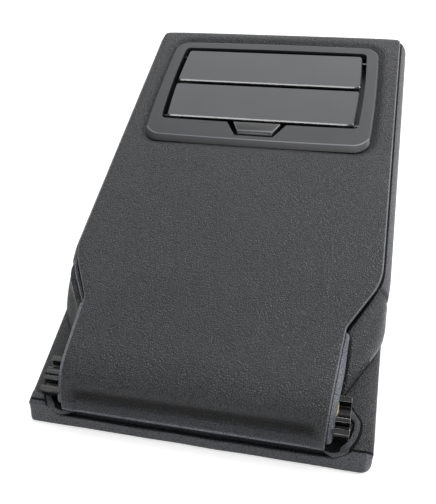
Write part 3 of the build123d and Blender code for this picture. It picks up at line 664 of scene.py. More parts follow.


# Leathers: share of the pebble's width, shade, roughness of crests and of creases, bump; the shade
# paints light or shade on the copies marked below
LEATHERS = {
    "Top leather": (1.0, 1.0, 0.30, 0.62, 1.0),
    # Side, neck, hem and lip leather: lighter copies of the top leather, painted light
    "Side leather": (0.7, 1.9, 0.38, 0.58, 0.6),
    "Neck leather": (0.6, 6.0, 0.38, 0.58, 0.6),
    "Hem leather": (0.8, 2.4, 0.38, 0.6, 0.6),
    "Lip leather": (0.7, 1.7, 0.38, 0.58, 0.6),
    # Painted shade under the top's roll and on the left gusset's lower part
    "Crease leather": (1.0, 0.35, 0.46, 0.7, 0.9),
    # Painted highlight on turned edges, the right gusset's foot and the hem's right end
    "Turned leather": (0.5, 5.0, 0.34, 0.5, 0.4),
    "Gusset leather": (1.1, 1.15, 0.24, 0.6, 1.4),
    "Base leather": (1.0, 0.75, 0.40, 0.66, 0.8),
    # Painted shadow: the apron's body and the black rows along the seams
    "Apron leather": (0.8, 0.15, 0.6, 0.8, 0.5),
    # Painted highlight on the left gusset's fold ridges
    "Ridge leather": (0.5, 8.0, 0.34, 0.5, 0.4),
}
# Mouldings: colour, shade, roughness plain and scuffed, scale of the mould grain, bump
MOULDINGS = {
    "Bracket plastic": ("gloss", 0.1, 0.2, 0.3, 500.0, 0.05),
    # Painted highlight on the brackets' edges and on the left bracket's upward faces
    "Bracket edge": ("worn", 1, 0.25, 0.35, 500.0, 0.05),
    "Bracket top": ("worn", 0.07, 0.25, 0.35, 500.0, 0.05),
    "Bezel plastic": ("matte", 1, 0.48, 0.40, 1500.0, 0.35),
    # Painted highlight on the bezel's rounded edges and its rear flange's break
    "Bezel edge": ("matte", 5, 0.34, 0.40, 1500.0, 0.2),
    "Button plastic": ("button", 1, 0.32, 0.26, 1800.0, 0.2),
    # Painted highlight on the button's rounded edges
    "Button edge": ("button", 8, 0.26, 0.32, 1800.0, 0.1),
    "Gloss plastic": ("gloss", 1, 0.09, 0.16, 120.0, 0.015),
    "Black moulding": ("matte", 0.2, 0.4, 0.55, 1200.0, 0.3),
    "Mat rubber": ("rubber", 1, 0.75, 0.6, 700.0, 0.5),
    "Bush plastic": ("bush", 1, 0.35, 0.45, 900.0, 0.1),
}
STEELS = {"Plated steel": "steel", "Blackened steel": "pins"}
# Levels below which a moulding gets painted shade, and specular levels of the finishes that mirror
# little
PAINTED_SHADE_CRESTS = {"Bezel plastic": BEZEL_HIGH.z}
DULL = {"Apron leather": 0.1, "Bracket plastic": 0.12}
# Finishes of the frame's own pieces
CAD_FINISHES = {
    "Black moulding": (
        "cup_tray",
        "carrier",
        "base_board",
        "front_lid_frame",
        "rear_lid_frame",
        "latch_bar",
    ),
    "Mat rubber": ("left_cup_mat", "right_cup_mat"),
    "Bush plastic": ("left_pivot_bush", "right_pivot_bush"),
    "Plated steel": (
        "tray_screws",
        "bracket_screws",
        "front_lid_springs",
        "rear_lid_springs",
        "latch_spring",
    ),
    "Blackened steel": ("front_lid_pins", "rear_lid_pins"),
}


class ARMREST_OT_finishes(bpy.types.Operator):
    """Make the materials and give the frame's own pieces theirs"""

    bl_idname = "armrest.finishes"
    bl_label = "Finishes"

    def execute(self, context):
        sizes = context.scene.armrest_sizes
        colours = context.scene.armrest_colours
        leather_grain_group()
        moulded_grain_group()
        for name, (share, *look) in LEATHERS.items():
            leather(name, colours, sizes.pebble * share, *look)
        for name, (tint, shade, *look) in MOULDINGS.items():
            shaded = [value * shade for value in getattr(colours, tint)]
            moulded(name, shaded, *look, PAINTED_SHADE_CRESTS.get(name))
        for name, level in DULL.items():
            shader = bpy.data.materials[name].node_tree.nodes["Principled BSDF"]
            shader.inputs["Specular IOR Level"].default_value = level
        for name, tint in STEELS.items():
            metal(name, getattr(colours, tint))
        foam("Cushion foam", colours.foam)
        for finish, names in CAD_FINISHES.items():
            for name in names:
                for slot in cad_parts[name].material_slots:
                    slot.material = bpy.data.materials[finish]
        return {"FINISHED"}


# Soft pieces


# Rolled end of the top panel, in millimetres: ahead of the neck's rear face, and above its lip
# or its top
ROLL_FROM_LIP = ((-0.8, 1.4), (3.4, 2.8), (8.4, 4.4), (12.0, 8.6), (11.8, 14.4))
ROLL_FROM_TOP = ((12.8, -9.6), (17.6, -4.8), (27.0, -1.4), (41.0, 0.0))
SPLINE_STEPS = 6
TOP_ROW = 2.4 * MM
FRONT_ROLL_STEPS = 8
FRONT_FACE_STEPS = 5
# How the foot of the front face is tucked in, in millimetres
FOOT_TUCK = ((-2.0, -1.6), (-5.0, -2.0))


def spline(a, b, c, d, t):
    """Point on a smooth curve that runs from b to c."""
    return 0.5 * (
        2 * b
        + (c - a) * t
        + (2 * a - 5 * b + 4 * c - d) * t * t
        + (3 * b - a - 3 * c + d) * t * t * t
    )


def top_profile(sizes):
    """Middle line of the top panel from its flared lip to the foot of the front face."""
    rear = REAR_END + sizes.neck_setback
    knots = [Vector((rear + y * MM, TOP_LOW.z + z * MM)) for y, z in ROLL_FROM_LIP]
    knots += [Vector((rear + y * MM, CUSHION_TOP + z * MM)) for y, z in ROLL_FROM_TOP]
    drawn_out = [knots[0] * 2 - knots[1], *knots, knots[-1] + Vector((12 * MM, 0))]
    points = []
    for four in zip(drawn_out, drawn_out[1:], drawn_out[2:], drawn_out[3:]):
        points += [spline(*four, index / SPLINE_STEPS) for index in range(SPLINE_STEPS)]
    roll = sizes.front_roll
    start = knots[-1]
    stop = Vector((FRONT_END - roll, CUSHION_TOP))
    count = round((stop.x - start.x) / TOP_ROW)
    points += [blend(start, stop, index / count) for index in range(count)]
    for index in range(FRONT_ROLL_STEPS + 1):
        angle = math.pi / 2 * (1 - index / FRONT_ROLL_STEPS)
        points.append(stop + Vector((math.cos(angle), math.sin(angle) - 1)) * roll)
    brow = points[-1]
    foot = Vector((FRONT_END - 0.5 * MM, BASE_TOP + 2 * MM))
    for index in range(1, FRONT_FACE_STEPS + 1):
        points.append(blend(brow, foot, index / FRONT_FACE_STEPS))
    points += [foot + Vector((y * MM, z * MM)) for y, z in FOOT_TUCK]
    return points


# Grid of the top panel, and its rows and columns with painted highlight, painted light and painted
# shade
CURL_STEPS = 5
TOP_COLUMNS = 104
WAIST_ROWS = 30
HIGHLIGHT_COLUMNS = (2, 3, 4)
HIGHLIGHT_ROWS = 2
LIT_LIP_ROWS = 10
SHADE_ROWS = range(13, 26)
SHADE_MARGIN = 9
NECK_SKEW = -1.9 * MM
# Stretches over which the top panel's front edge, seams and flat part change
FRONT_STRETCH = 18 * MM
SEAM_STRETCH = 16 * MM
FLAT_STRETCH = 40 * MM
FLAT_FROM = 10 * MM
SEAM_MARGIN = 2 * MM
# Fuller roll of the seams at the front, and how their edges are turned in, and down past the roll
FRONT_FULLER = 1.6
TURN_IN = 0.6 * MM
TURN_DOWN = 1.5 * MM
# Puff of the leather, and its waves: how dense, layer of the noise, height in millimetres
PUFF = 0.9 * MM
PUFF_STRETCH = 9 * MM
WAVES = 26
WAVE_LAYER = 3.1
WAVE_HEIGHT = 0.35
# How far the bezel laps over the leather, and how deep the leather is taken out under it
BEZEL_LAP = 5 * MM
OPEN_DEPTH = 6 * MM


def straightened(profile):
    """The same profile with its waist bridged, as it runs along the seams."""
    bridged = list(profile)
    for row in range(WAIST_ROWS):
        share = row / WAIST_ROWS
        bow = Vector((-1.0 * MM, 1.0 * MM)) * math.sin(math.pi * share)
        bridged[row] = blend(profile[0], profile[WAIST_ROWS], share) + bow
    return bridged


def neck_skew(sizes, y):
    """Sideways lean of the neck, growing to its rear end."""
    corner_y = shoulder_corner(sizes)
    rear = REAR_END + sizes.neck_setback
    return NECK_SKEW * min(max((corner_y - y) / (corner_y - rear), 0.0), 1.0)


def half_at(seam, y):
    """Half width of the top panel at a lengthwise station."""
    if y <= seam[0].y:
        return seam[0].x
    for a, b in zip(seam, seam[1:]):
        if a.y <= y <= b.y:
            return blend(a.x, b.x, (y - a.y) / max(b.y - a.y, 1e-9))
    return seam[-1].x


def make_top(sizes):
    """Top panel: one piece of leather from the neck's lip over the front edge."""
    profile = top_profile(sizes)
    edges = straightened(profile)
    seam = seam_line(sizes)
    halves = [half_at(seam, p.x) for p in edges]
    normals = profile_normals(profile)
    edge_normals = profile_normals(edges)
    columns = TOP_COLUMNS + 2 * CURL_STEPS + 2

    def place(column, row):
        half = halves[row]
        front = ease((profile[row].x - FRONT_END + FRONT_STRETCH) / FRONT_STRETCH)
        roll = sizes.seam_roll * (1 + FRONT_FULLER * front)
        mirrored = -1 if column < columns / 2 else 1
        step = abs(column - columns / 2) - TOP_COLUMNS / 2
        if step <= 0:
            x = (column - columns / 2) / (TOP_COLUMNS / 2) * (half - roll)
            drop = 0.0
        elif step <= CURL_STEPS:
            angle = math.pi / 2 * step / CURL_STEPS
            x = mirrored * (half - roll + roll * math.sin(angle))
            drop = roll * (1 - math.cos(angle))
        else:
            x = mirrored * (half - TURN_IN)
            drop = max(sizes.seam_depth, roll + TURN_DOWN)
        edge = max(half - abs(x), 0.0)
        inner = ease((edge - SEAM_MARGIN) / SEAM_STRETCH)
        point = blend(edges[row], profile[row], inner)
        normal = blend(edge_normals[row], normals[row], inner).normalized()
        flat = ease((point.x - REAR_END - FLAT_FROM) / FLAT_STRETCH) * (1 - front)
        puff = PUFF * (1 - math.exp(-edge / PUFF_STRETCH))
        puff += sizes.crown * (1 - (x / half) ** 2) * flat
        away = bezel_distance(x, point.x)
        dip = math.exp(-((max(away, 0) / sizes.groove_width) ** 2))
        puff -= sizes.groove_depth * dip
        spot = Vector((x * WAVES, point.x * WAVES, WAVE_LAYER))
        wave = noise.noise(spot) * WAVE_HEIGHT * MM
        puff += wave * flat * (1 - dip)
        height = puff - drop
        y = point.x + normal.x * height
        return Vector((x + neck_skew(sizes, y), y, point.y + normal.y * height))

    top = grid("top_cover", columns, len(profile) - 1, place)
    paint_top(top, columns)
    open_top(top)
    face_towards(top, (0, 0, 1))
    apply_modifier(top, "SOLIDIFY", thickness=sizes.cover_wall, offset=-1.0)
    smooth(top, SOFT_ANGLE)
    return top


def paint_top(top, columns):
    """Painted highlight on the turned edges, painted light on the lip and painted shade in the
    crease under the roll.
    """
    dress(top, "Top leather", "Turned leather", "Lip leather", "Crease leather")
    for polygon in top.data.polygons:
        row, column = divmod(min(polygon.vertices), columns + 1)
        inward = min(column, columns - 1 - column)
        if inward in HIGHLIGHT_COLUMNS or row < HIGHLIGHT_ROWS:
            polygon.material_index = 1
        elif row < LIT_LIP_ROWS:
            polygon.material_index = 2
        elif row in SHADE_ROWS and inward > SHADE_MARGIN:
            polygon.material_index = 3


def open_top(top):
    """Take out the leather under the bezel."""
    activate(top)
    bpy.ops.object.mode_set(mode="EDIT")
    bpy.ops.mesh.select_mode(type="FACE")
    bpy.ops.mesh.select_all(action="DESELECT")
    bpy.ops.object.mode_set(mode="OBJECT")
    for polygon in top.data.polygons:
        centre = polygon.center
        flat = centre.z > CUSHION_TOP - OPEN_DEPTH
        polygon.select = flat and bezel_distance(centre.x, centre.y) < -BEZEL_LAP
    bpy.ops.object.mode_set(mode="EDIT")
    bpy.ops.mesh.delete(type="FACE")
    bpy.ops.object.mode_set(mode="OBJECT")


class ARMREST_OT_top(bpy.types.Operator):
    """Sew the top panel"""

    bl_idname = "armrest.top"
    bl_label = "Top panel"

    def execute(self, context):
        top = make_top(context.scene.armrest_sizes)
        finish_piece(top, "cover_leather", BODY, "top_panel", "upper_foam")
        return {"FINISHED"}


def pillow(name, upper, lower, rows, fullness, tuck, end_roll, mirrored, crease=None):
    """A padded strip between two lines, its four edges turned in, grown outwards."""
    count = len(upper) - 1
    normals = []
    for index in range(count + 1):
        run = upper[min(index + 1, count)] - upper[max(index - 1, 0)]
        run += lower[min(index + 1, count)] - lower[max(index - 1, 0)]
        normal = run.cross(upper[index] - lower[index]).normalized()
        normals.append(normal if normal.x > 0 else -normal)
    spans = [0.0]
    for index in range(count):
        first = blend(upper[index], lower[index], 0.5)
        spans.append(spans[-1] + (blend(upper[index + 1], lower[index + 1], 0.5) - first).length)

    def place(column, row):
        t = (1 - math.cos(math.pi * row / rows)) / 2
        ends = []
        for distance, roll in zip((spans[column], spans[-1] - spans[column]), end_roll):
            share = min(distance / roll, 1.0) if roll > 0 else 1.0
            ends.append(math.sqrt(max(1 - (1 - share) ** 2, 0.0)))
        swell = math.sin(math.pi * t) ** 0.55 * min(ends)
        out = -tuck + (fullness(spans[column] / spans[-1]) + tuck) * swell
        if crease:
            out += crease(spans[column] / spans[-1], t) * min(ends)
        point = blend(upper[column], lower[column], t) + normals[column] * out
        return Vector((point.x * mirrored, point.y, point.z))

    strip = grid(name, count, rows, place)
    face_towards(strip, (mirrored, 0, 0))
    return strip


def border(columns, rows):
    """Point numbers of a grid's outer rows and columns, two deep."""
    numbers = []
    for row in range(rows + 1):
        for column in range(columns + 1):
            if min(column, columns - column, row, rows - row) < 2:
                numbers.append(row * (columns + 1) + column)
    return numbers


def finish_strip(strip, wall, finishes, node_name, columns, pick):
    dress(strip, *finishes)
    for polygon in strip.data.polygons:
        polygon.material_index = pick(min(polygon.vertices) // (columns + 1), polygon.center)
    apply_modifier(strip, "SOLIDIFY", thickness=wall, offset=-1.0)
    smooth(strip, SOFT_ANGLE)
    finish_piece(strip, "cover_leather", BODY, node_name)


def profile_normals(profile):
    """Outward normals along a profile."""
    normals = []
    for index in range(len(profile)):
        run = profile[min(index + 1, len(profile) - 1)] - profile[max(index - 1, 0)]
        normals.append(Vector((-run.y, run.x)).normalized())
    return normals


# Neck strips: rows of the lip that they leave free, rounding of their end and where it closes
NECK_FREE_ROWS = 3
NECK_END_ROUND = 8 * MM
NECK_END_AIM = 0.45
# Their depth and reach at the lip and on top, and the inset (in millimetres) and stand-out above
NECK_DEPTHS = (6.5 * MM, 12.4 * MM)
NECK_REACHES = (5.5 * MM, 5.0 * MM)
NECK_INSET = 2.4
NECK_STAND = 0.7 * MM
# Where they start to narrow towards the shoulder, over what share of the neck, and to what
NARROW_FROM = 0.55
NARROW_RUN = 0.45
NARROW_DEPTH = 0.45
NARROW_REACH = 3.2 * MM


def neck_lines(sizes):
    """Upper and lower line of the right neck strip, down the roll to the lip."""
    corner_y = shoulder_corner(sizes)
    profile = straightened(top_profile(sizes))
    normals = profile_normals(profile)
    rear = REAR_END + sizes.neck_setback
    travelled = 0.0
    upper = []
    lower = []
    for index, (point, normal) in enumerate(zip(profile, normals)):
        if point.x > corner_y:
            break
        if index:
            travelled += (point - profile[index - 1]).length
        if index < NECK_FREE_ROWS:
            continue
        share = max(point.x - rear, 0) / (corner_y - rear)
        half = blend(sizes.neck_half, sizes.neck_half + sizes.neck_taper, share)
        rise = ease((point.y - TOP_LOW.z) / (CUSHION_TOP - TOP_LOW.z))
        narrow = ease((share - NARROW_FROM) / NARROW_RUN)
        depth = blend(*NECK_DEPTHS, rise) * blend(1, NARROW_DEPTH, narrow)
        reach = blend(blend(*NECK_REACHES, rise), NARROW_REACH, narrow)
        top = point - normal * NECK_INSET * MM
        foot = point - normal * depth
        high = Vector((half + NECK_STAND, top.x, top.y))
        low = Vector((half + reach, foot.x, foot.y))
        away = 1 - min(travelled / NECK_END_ROUND, 1.0)
        width = math.sqrt(max(1 - away * away, 0.02))
        middle = blend(high, low, NECK_END_AIM)
        upper.append(blend(middle, high, width))
        lower.append(blend(middle, low, width))
    return upper, lower


# Levels of the side pieces' seam and foot, and how far their seam stands out past the top panel's
SEAM_LEVEL = CUSHION_TOP - 3.0 * MM
FOOT_LEVEL = BASE_TOP + 0.6 * MM
SEAM_OUT = 2.2 * MM
# Grids of the side pieces, and the rows next to the seams with painted shadow
PANEL_COLUMNS = 130
PANEL_ROWS = 18
GUSSET_COLUMNS = 56
GUSSET_ROWS = 30
NECK_ROWS = 14
SEAM_SHADOW_ROWS = 3
NECK_SHADOW_ROWS = 2
GUSSET_SHADOW_ROW = 25
LEFT_SHADE_ROW = 13
# Gussets: most that the cloth may swell, rows of painted highlight, how far the painted highlight
# runs past the rear corner and stops short of the seam, and the material of the painted highlight
GUSSETS = {
    "right": (2.0 * MM, (22, 23, 24), 14 * MM, 20 * MM, "Turned leather"),
    "left": (0.7 * MM, (5, 10, 11), 4 * MM, 4 * MM, "Ridge leather"),
}
# Folds of the left gusset: place across it, width and height
LEFT_FOLDS = ((0.26, 0.05, 1.0), (0.17, 0.05, -1.0), (0.09, 0.04, 0.5))
# Cut edge of the foam, in millimetres: level and reach of each ring
FOAM_RINGS = ((0.3, 1.5), (1.2, 1.8), (2.0, 1.5), (2.4, 0.8))
FOAM_POINTS = 48


def stretch(points, low, high, count, z, out=0.0):
    """An even stretch of a plan line, moved outwards and lifted to a level."""
    line = resample(between(points, low, high), count)
    return lift([point + Vector((out, 0)) for point in line], z)


def side_cover(sizes, side, mirrored):
    """Side panel from the gusset to the rolled front edge."""
    split_y = REAR_END + sizes.gusset_seam
    front = FRONT_END - 1.5 * MM
    upper = stretch(seam_line(sizes), split_y, front, PANEL_COLUMNS, SEAM_LEVEL, SEAM_OUT)
    roll = sizes.front_roll
    for point in upper:
        past = min(max(point.y - FRONT_END + roll, 0.0), roll)
        point.z -= roll - math.sqrt(roll * roll - past * past)
    panel = pillow(
        f"{side}_side_cover",
        upper,
        stretch(foot_line(sizes), split_y, front, PANEL_COLUMNS, FOOT_LEVEL),
        PANEL_ROWS,
        fullness=lambda s: sizes.side_bulge,
        tuck=3 * MM,
        end_roll=(3 * MM, 9 * MM),
        mirrored=mirrored,
    )
    finish_strip(
        panel,
        sizes.cover_wall,
        # Side leather painted light, with painted shadow in the rows along the seam
        ("Side leather", "Apron leather"),
        f"{side}_side_panel",
        columns=PANEL_COLUMNS,
        pick=lambda row, centre: int(row < SEAM_SHADOW_ROWS),
    )


def gusset_folds(side, s, t):
    """Rise of a gusset's folds at a place along and across it."""
    if side == "right":
        return 0.5 * MM * math.sin(9 * t + 5 * s) * math.sin(math.pi * t)
    ridge = sum(high * math.exp(-(((t - at) / wide) ** 2)) for at, wide, high in LEFT_FOLDS)
    return 3.2 * MM * ridge * math.sin(math.pi * min(s * 1.1, 1)) ** 0.5


def gusset_cover(sizes, side, mirrored):
    """Shoulder gusset between neck and side panel: full on the right, drawn in on the left."""
    right = side == "right"
    cap, highlight_rows, highlight_rear, highlight_front, highlight_finish = GUSSETS[side]
    corner_y = shoulder_corner(sizes)
    split_y = REAR_END + sizes.gusset_seam
    foot = rounded_path(
        [
            (
                sizes.neck_half + sizes.neck_flare - 3 * MM,
                corner_y - sizes.shoulder_sweep - 13 * MM,
            ),
            (HALF_WIDTH, REAR_END + sizes.shoulder_start - sizes.shoulder_sweep),
            (HALF_WIDTH, split_y),
        ],
        (sizes.shoulder_round,),
        LINE_STEP,
    )
    full = sizes.gusset_bulge if right else 0.0
    pull = Vector((0 if right else 2 * MM, 0))
    gusset = pillow(
        f"{side}_gusset_cover",
        stretch(seam_line(sizes), corner_y, split_y, GUSSET_COLUMNS, SEAM_LEVEL, SEAM_OUT),
        lift([point - pull for point in resample(foot, GUSSET_COLUMNS)], FOOT_LEVEL),
        GUSSET_ROWS,
        fullness=lambda s: blend(full, sizes.side_bulge, ease((s - 0.3) / 0.65)),
        tuck=2 * MM,
        end_roll=(2.5 * MM, 3 * MM),
        mirrored=mirrored,
        crease=lambda s, t: gusset_folds(side, s, t),
    )
    inflate(gusset, border(GUSSET_COLUMNS, GUSSET_ROWS), pressure=2.0, cap=cap)

    # Painted shadow along the seam and the foot, painted highlight on the light rows, painted shade
    # on the left gusset's lower part
    def pick(row, centre):
        if row < SEAM_SHADOW_ROWS or row >= GUSSET_SHADOW_ROW:
            return 1
        if row in highlight_rows and corner_y - highlight_rear < centre.y < split_y - highlight_front:
            return 2
        return 0 if right or row <= LEFT_SHADE_ROW else 3

    finish_strip(
        gusset,
        sizes.cover_wall,
        ("Gusset leather", "Apron leather", highlight_finish, "Crease leather"),
        f"{side}_gusset",
        columns=GUSSET_COLUMNS,
        pick=pick,
    )


def neck_cover(sizes, side, mirrored):
    """Neck strip under the turned edge of the top panel."""
    upper, lower = neck_lines(sizes)
    strip = pillow(
        f"{side}_neck_cover",
        upper,
        lower,
        NECK_ROWS,
        fullness=lambda s: sizes.neck_bulge,
        tuck=1.6 * MM,
        end_roll=(3 * MM, 4 * MM),
        mirrored=mirrored,
    )
    for vertex in strip.data.vertices:
        vertex.co.x += neck_skew(sizes, vertex.co.y)
    finish_strip(
        strip,
        sizes.cover_wall,
        # Neck leather painted light, with painted shadow in the rows along the seam
        ("Neck leather", "Apron leather"),
        f"{side}_neck_strip",
        columns=len(upper) - 1,
        pick=lambda row, centre: int(row < NECK_SHADOW_ROWS),
    )


def foam_edge(sizes):
    """Cut edge of the foam, peeping out between the right neck strip and its bracket."""
    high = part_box("right_hinge_bracket")[1]
    middle = Vector((sizes.neck_half + sizes.neck_flare - 2.5 * MM, high.y - 10 * MM))
    rings = []
    for level, reach in FOAM_RINGS:
        ring = []
        for index in range(FOAM_POINTS):
            angle = 2 * math.pi * index / FOAM_POINTS
            spot = Vector((3 * math.cos(angle), 3 * math.sin(angle), level))
            ragged = 1 + 0.18 * noise.noise(spot)
            x = middle.x + reach * MM * ragged * math.cos(angle)
            y = middle.y + (reach * 4) * MM * ragged * math.sin(angle)
            ring.append(Vector((x, y, high.z - 1.0 * MM + level * MM)))
        rings.append(ring)
    edge = loft("foam_edge", rings)
    smooth(edge, 60)
    dress(edge, "Cushion foam")
    finish_piece(edge, "cushion_foam", BODY)


class ARMREST_OT_sides(bpy.types.Operator):
    """Sew the side panels, gussets and neck strips"""

    bl_idname = "armrest.sides"
    bl_label = "Side pieces"

    def execute(self, context):
        sizes = context.scene.armrest_sizes
        for side, mirrored in (("right", 1), ("left", -1)):
            side_cover(sizes, side, mirrored)
            gusset_cover(sizes, side, mirrored)
            neck_cover(sizes, side, mirrored)
        foam_edge(sizes)
        return {"FINISHED"}


def slab(name, half, low, high, bottom, top, corner, top_round, bottom_round):
    """A rounded pad, as a closed body."""
    rings = []
    steps = 5

    def ring(inset, z):
        outline = rounded_box(half - inset, low + inset, high - inset, max(corner - inset, 1 * MM))
        rings.append(lift(outline, z))

    angles = [math.pi / 2 * index / steps for index in range(steps + 1)]
    for angle in angles:
        ring(bottom_round * (1 - math.sin(angle)), bottom + bottom_round * (1 - math.cos(angle)))
    for angle in angles:
        ring(top_round * (1 - math.cos(angle)), top - top_round * (1 - math.sin(angle)))
    return loft(name, rings)


# Hem: its top, the slant of its rear face, how far the lower cushion laps over it, its corners,
# and the wall and floor of its channel under the neck
HEM_TOP = HEM_HIGH.z - 1.2 * MM
HEM_SLANT = 8 * MM
HEM_LAP = 9 * MM
HEM_LEFT_CORNER = 5 * MM
HEM_RIGHT_CORNER = 9 * MM
HEM_WALL = 11.4 * MM
HEM_FLOOR = 7 * MM
# Its outline: where it starts on the front face, its roundings, taper and lean of its two ends
HEM_START = 10 * MM
HEM_RADII = tuple(radius * MM for radius in (2, 2.4, 0.6, 0.35, 0.35, 0.05, 0.05, 1))
HEM_STEP = 0.8 * MM
HEM_END_ROUND = 3 * MM
HEM_TAPER = 2.4 * MM
HEM_LEAN = 3 * MM
LEAN_REACH = 22 * MM
# Channel: half width, length of its ends, brim behind it, foot and lip of its front wall
CHANNEL_HALF = 120 * MM
CHANNEL_END = 14 * MM
BRIM_REACH = 11.5 * MM
BRIM_CREST = 1.4 * MM
BRIM_FOOT = 2.2 * MM
CHANNEL_FOOT = 10.6 * MM
CHANNEL_LIP = 10.4 * MM
# Painted shadow on the hem's seams: where it begins, how deep and how wide it shows
HEM_SEAM_FROM = 100 * MM
HEM_SEAM_DEPTH = 4 * MM
HEM_SEAM_HALF = 0.9 * MM
HEM_STATIONS = 120
HEM_POINTS = 120
# Stations close to the hem's ends, in millimetres
HEM_END_STATIONS = (0, 0.15, 0.5, 1.0, 1.7, 2.6, 3.6, 5.0, 6.5, 8.2)
# Apron: points along it, rows across it, rows up to its bead, rows of the bead painted light
APRON_COLUMNS = 240
APRON_ROWS = 14
BEAD_ROW = 5
BEAD_HIGHLIGHT_ROWS = range(8, 11)
# Its width, height, the bead's width, rise and step, and where the bead's painted light begins
APRON_WIDTH = 24 * MM
APRON_RISE = 0.7 * MM
BEAD = 8 * MM
BEAD_RISE = 1.9 * MM
BEAD_STEP = 0.6 * MM
BEAD_HIGHLIGHT_FROM = 97 * MM
# Half width over which it hangs straight into the hem's channel, and how soon it does
HANG_HALF = 112 * MM
HANG_END = 16 * MM


class ARMREST_OT_base(bpy.types.Operator):
    """Sew the lower cushion, its hem and the apron under the neck"""

    bl_idname = "armrest.base"
    bl_label = "Lower cushion"

    def execute(self, context):
        sizes = context.scene.armrest_sizes
        cushion = slab(
            "base_cushion",
            half=BASE_HIGH.x,
            low=HEM_HIGH.y - HEM_LAP,
            high=BASE_HIGH.y,
            bottom=BASE_LOW.z,
            top=HEM_HIGH.z - 1.0 * MM,
            corner=6 * MM,
            top_round=3.5 * MM,
            bottom_round=3 * MM,
        )
        apply_modifier(cushion, "REMESH", mode="VOXEL", voxel_size=4 * MM)
        inflate(cushion, held=None, pressure=4.0, cap=1.6 * MM)
        self.settle(cushion)
        self.cut_wells(cushion)
        smooth(cushion, SOFT_ANGLE)
        dress(cushion, "Base leather")
        nodes = ("base_cover", "base_top_panel", "base_foam")
        finish_piece(cushion, "cover_leather", BODY, *nodes)
        hem = self.hem()
        smooth(hem, SOFT_ANGLE)
        self.paint_hem(hem)
        finish_piece(hem, "cover_leather", BODY, "hem_strip")
        self.apron(sizes)
        return {"FINISHED"}

    def hem(self):
        """Rear hem with its slanted face and boxed, rounded ends."""
        half = HEM_HIGH.x + 0.8 * MM
        front = HEM_HIGH.y - 0.4 * MM
        stations = [half * (2 * index / HEM_STATIONS - 1) for index in range(1, HEM_STATIONS)]
        for offset in HEM_END_STATIONS:
            stations += [half - offset * MM, offset * MM - half]
        rings = []
        for x in sorted(stations):
            corner = HEM_RIGHT_CORNER if x > 0 else HEM_LEFT_CORNER
            across = x * (half - HEM_TAPER) / half if x > 0 else x
            past = max(abs(x) - half + corner, 0.0)
            rear = HEM_LOW.y + corner - math.sqrt(max(corner * corner - past * past, 0.0))
            sunk = ease((CHANNEL_HALF - abs(x)) / CHANNEL_END)
            wall = blend(HEM_TOP, HEM_WALL, sunk)
            floor = blend(HEM_TOP, HEM_FLOOR, sunk)
            brim = min(rear + HEM_SLANT * wall / HEM_TOP, front - BRIM_REACH)
            corners = [
                (front, HEM_START),
                (front, 0),
                (rear, 0),
                (brim, wall),
                (brim + BRIM_CREST, wall),
                (brim + BRIM_FOOT, floor),
                (front - CHANNEL_FOOT + 2 * MM * (1 - sunk), floor),
                (front - CHANNEL_LIP + 3 * MM * (1 - sunk), HEM_TOP),
                (front, HEM_TOP),
                (front, HEM_START),
            ]
            section = resample(rounded_path(corners, HEM_RADII, HEM_STEP), HEM_POINTS)
            end = max(1 - (half - abs(x)) / HEM_END_ROUND, 0.0)
            inset = HEM_END_ROUND * (1 - math.sqrt(1 - end * end))
            middle = Vector((front - 8 * MM, HEM_TOP / 2))
            ring = []
            for point in section[:-1]:
                spot = point + (middle - point).normalized() * inset
                wave = noise.noise(Vector((x * 30, point.x * 60, point.y * 60))) * 0.5 * MM
                leaning = ease((-x - half + LEAN_REACH) / LEAN_REACH)
                lean = HEM_LEAN * spot.y / HEM_TOP * leaning
                z = max(spot.y + wave * 0.5, HEM_LOW.z)
                ring.append(Vector((across - math.copysign(lean, x), spot.x + wave * 0.6, z)))
            rings.append(ring)
        return loft("hem_roll", rings)

    def paint_hem(self, hem):
        """Hem painted light, with painted shadow on the seams at its ends, base leather ahead of
        them and a painted highlight at the right end.
        """
        dress(hem, "Hem leather", "Base leather", "Apron leather", "Turned leather")
        right_seam = HEM_LOW.y + HEM_SLANT + 1.5 * MM
        left_seam = HEM_HIGH.y - 8.5 * MM
        for polygon in hem.data.polygons:
            centre = polygon.center
            if abs(centre.x) < HEM_SEAM_FROM:
                continue
            past = centre.y - (right_seam if centre.x > 0 else left_seam)
            upper = centre.z > HEM_TOP - HEM_SEAM_DEPTH
            if upper and abs(past) < HEM_SEAM_HALF:
                polygon.material_index = 2
            elif upper and centre.x > 0 and past > 0:
                polygon.material_index = 1
            elif HEM_HIGH.x - 6.5 * MM < centre.x < HEM_HIGH.x - 4 * MM and past < 0:
                polygon.material_index = 3

    def settle(self, pad):
        """Subdivide a pad and rest it flat on the floor."""
        apply_modifier(pad, "SUBSURF", levels=1, render_levels=1)
        for vertex in pad.data.vertices:
            vertex.co.z = max(vertex.co.z, BASE_LOW.z)

    def cut_wells(self, cushion):
        """Pocket for both cup wells."""
        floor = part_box("left_cup_mat")[0].z - 3.5 * MM
        low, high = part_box("right_cup_mat")
        radius = (high.x - low.x) / 2 + 4 * MM
        middle = (low.y + high.y) / 2
        reach = (low.x + high.x) / 2
        outline = rounded_box(reach + radius, middle - radius, middle + radius, radius, 16)
        pocket = loft("pocket", [lift(outline, z) for z in (floor, CUSHION_TOP)])
        boolean(cushion, pocket, "DIFFERENCE")

